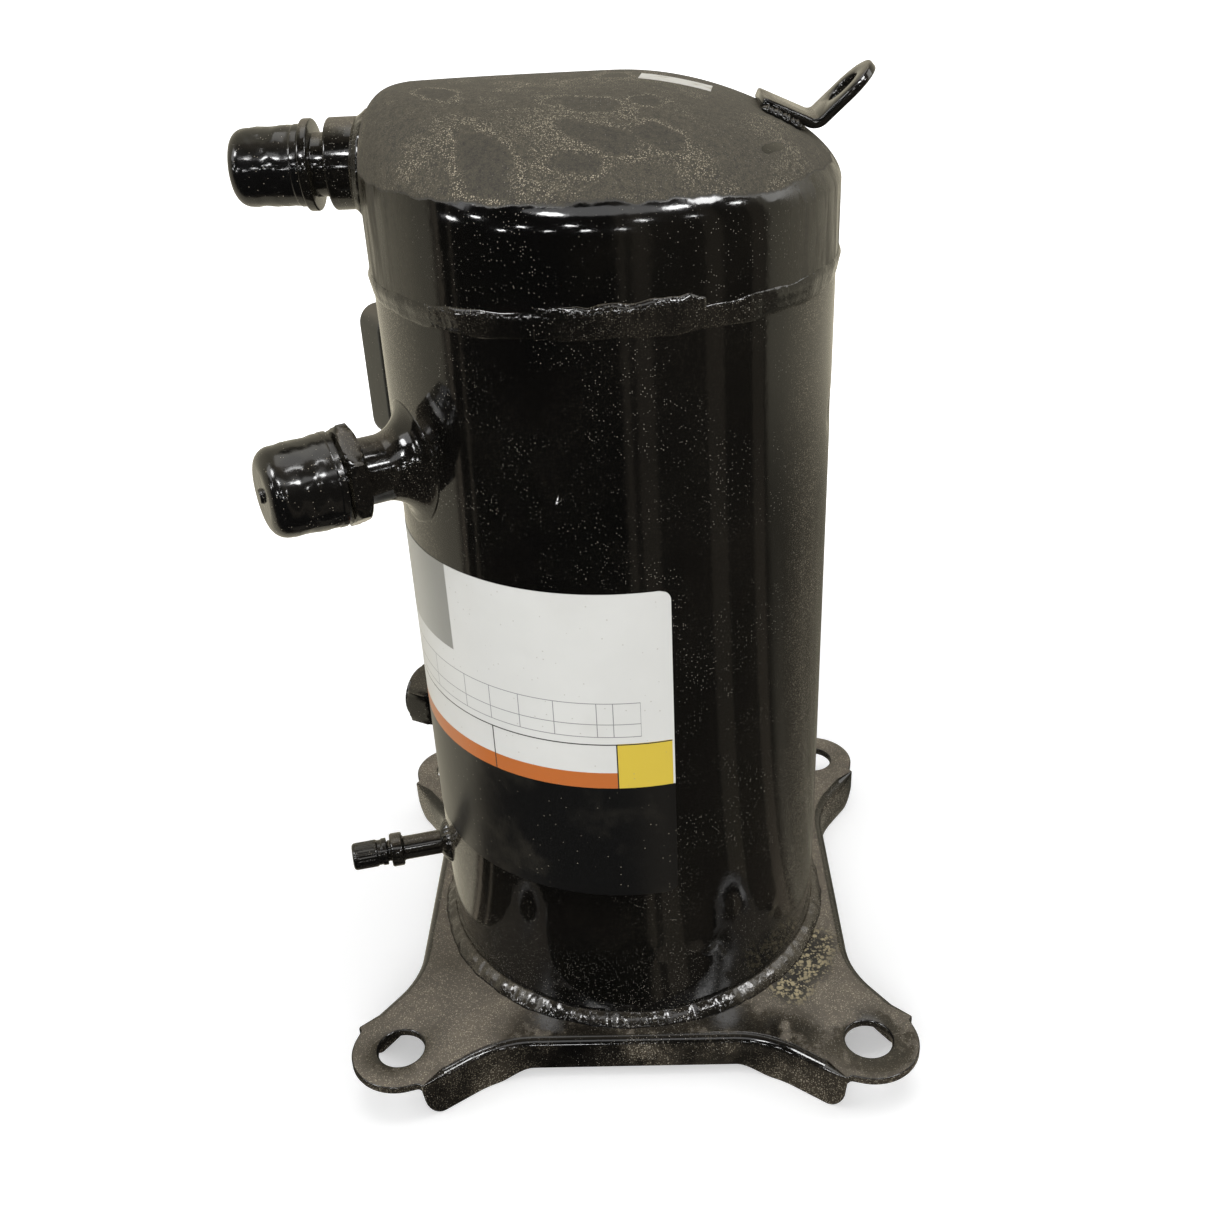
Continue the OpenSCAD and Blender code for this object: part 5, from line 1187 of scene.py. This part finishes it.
# what the enamel mirrors, by bearing from the object: a pale hall behind and beside, dark in front,
# a few upright pale things at the left and dull brown ones at the right
def hall(add, x, y):
    far = add("Math", x * x + y * y, operation="SQRT") | 1e-4
    side, deep = x / far, y / far
    bearing = add("Math", side, deep * -1.0, operation="ARCTAN2")
    things = add("TexNoise", W=bearing, Scale=5.0, Detail=1.0, noise_dimensions="1D")
    stripes = add("MapRange", things, 0.50, 0.54)
    pale = add("MapRange", deep, -0.20, -0.10)
    right = add("MapRange", side, 0.10, 0.16)
    left = 1.0 - add("MapRange", side, -0.98, -0.84)
    # the floor close by on the right is dim, the rest of the hall pale
    dim = add("MapRange", side, 0.0, 0.3) * (1.0 - add("MapRange", far, 0.45, 0.95))
    level = 0.02 + right * (0.06 + stripes * 0.14) + left * stripes * 0.4
    level = level | pale * (0.66 - dim * 0.50)
    return level, add("Mix", pale, (1.0, 0.86, 0.66, 1), (1.0, 0.925, 0.72, 1))


# pale floor: white to the camera with the shadow kept, the hall to reflections
def makeFloor():
    mesh, s = bpy.data.meshes.new("floor"), stage["floor"]
    mesh.from_pydata([(-s, -s, 0), (s, -s, 0), (s, s, 0), (-s, s, 0)], [], [(0, 1, 2, 3)])
    floor = bpy.data.objects.new("floor", mesh)
    bpy.context.scene.collection.objects.link(floor)
    material = bpy.data.materials.new("paleFloor")
    add = cleared(material)
    rays, where = add("LightPath"), add("TexCoord", out="Object")
    matt = add("BsdfDiffuse", (stage["floorGrey"],) * 3 + (1,))
    away = add("VectorMath", where, operation="LENGTH", out="Value")
    glow = add("Emission", (1, 1, 1, 1), add("MapRange", away, 0.15, 0.8, 0.35, 1.0))
    level, tint = hall(add, add("SeparateXYZ", where, out=0), add("SeparateXYZ", where, out=1))
    toCamera = add("MixShader", rays.other("Is Camera Ray"), matt, add("AddShader", matt, glow))
    toGloss = add("MixShader", rays.other("Is Glossy Ray"), toCamera, add("Emission", tint, level))
    add("OutputMaterial", toGloss)
    mesh.materials.append(material)


# the room: white to the camera, the hall to reflections, brighter overhead
def makeRoom():
    world = bpy.data.worlds.new("room")
    bpy.context.scene.world = world
    add = cleared(world)
    rays, sky = add("LightPath"), add("TexCoord", out="Generated")
    x, y, z = (add("SeparateXYZ", sky, out=k) for k in range(3))
    level, tint = hall(add, x, y)
    room = add("Background", tint, level | add("MapRange", z, 0.80, 0.98) * 0.35)
    even, white = (add("Background", (1, 1, 1, 1), strength) for strength in (0.5, 1.0))
    toGloss = add("MixShader", rays.other("Is Glossy Ray"), even, room)
    add("OutputWorld", add("MixShader", rays.other("Is Camera Ray"), toGloss, white))


# a soft lamp; a highlight shows in the gloss and lights nothing else, a fill only lights
def lamp(name, place, aim, size, tall, power, kind="soft"):
    data = bpy.data.lights.new(name, "AREA")
    data.energy, data.size, data.size_y = power, size, tall
    data.shape = "ELLIPSE" if kind == "highlight" else "RECTANGLE"
    light = bpy.data.objects.new(name, data)
    light.visible_diffuse = kind != "highlight"
    light.visible_glossy = kind != "fill"
    bpy.context.scene.collection.objects.link(light)
    z = np.array(place, float) - np.array(aim, float)
    z /= np.linalg.norm(z)
    x = np.cross([0, 0, 1] if abs(z[2]) < 0.95 else [0, 1, 0], z)
    x /= np.linalg.norm(x)
    placed(light, x, np.cross(z, x), z, place)


makeCamera()
makeFloor()
makeRoom()
lamp("topLamp", (0.1, 0.25, 1.9), (0, 0, 0.2), 1.3, 1.1, 7)
lamp("tubeLamp", (0.445, -0.32, 1.63), (-0.1, -0.06, 0.26), 0.42, 0.10, 1.9, "highlight")
lamp("leftLamp", (-1.5, -0.5, 1.3), (0, 0, 0.2), 0.7, 0.9, 5)
lamp("rightLamp", (1.6, 0.2, 1.2), (0, 0, 0.2), 0.7, 0.9, 5)
lamp("frontLamp", (-0.2, -1.9, 0.9), (0, 0, 0.2), 1.4, 1.2, 22, "fill")
for k, (x, y, z, wide) in enumerate(stage["hallLamps"]):
    lamp("hallLamp%d" % k, (x, y, z), stage["hallAim"], wide * 1.9, wide * 0.95, stage["hallPower"] * wide * wide,
         "highlight")
lamp("bandLamp", (0, -1.2, 1.29), stage["hallAim"], 1.7, 0.42, 3.4, "highlight")
for side in (-1, 1):  # long rows of lamps, mirrored in the folds of the base
    lamp("rowLamp%d" % (side + 1), (1.12 * side, -0.68, 1.40), (0, -0.1, 0.02), 0.42, 0.42, 10.0, "highlight")
bpy.context.scene.view_settings.view_transform = "Standard"
print("stage set:", len(bpy.data.lights), "lamps")

# every carried-over solid takes the finish of its slot
slotOf = {entry["node"]: entry["material_slot"] for entry in frame["record"]["subparts"]}
for name, thing in frame["nodes"].items():
    thing.data.materials.clear()
    thing.data.materials.append(slotLook[slotOf[name]])
print("solids dressed:", len(slotOf))
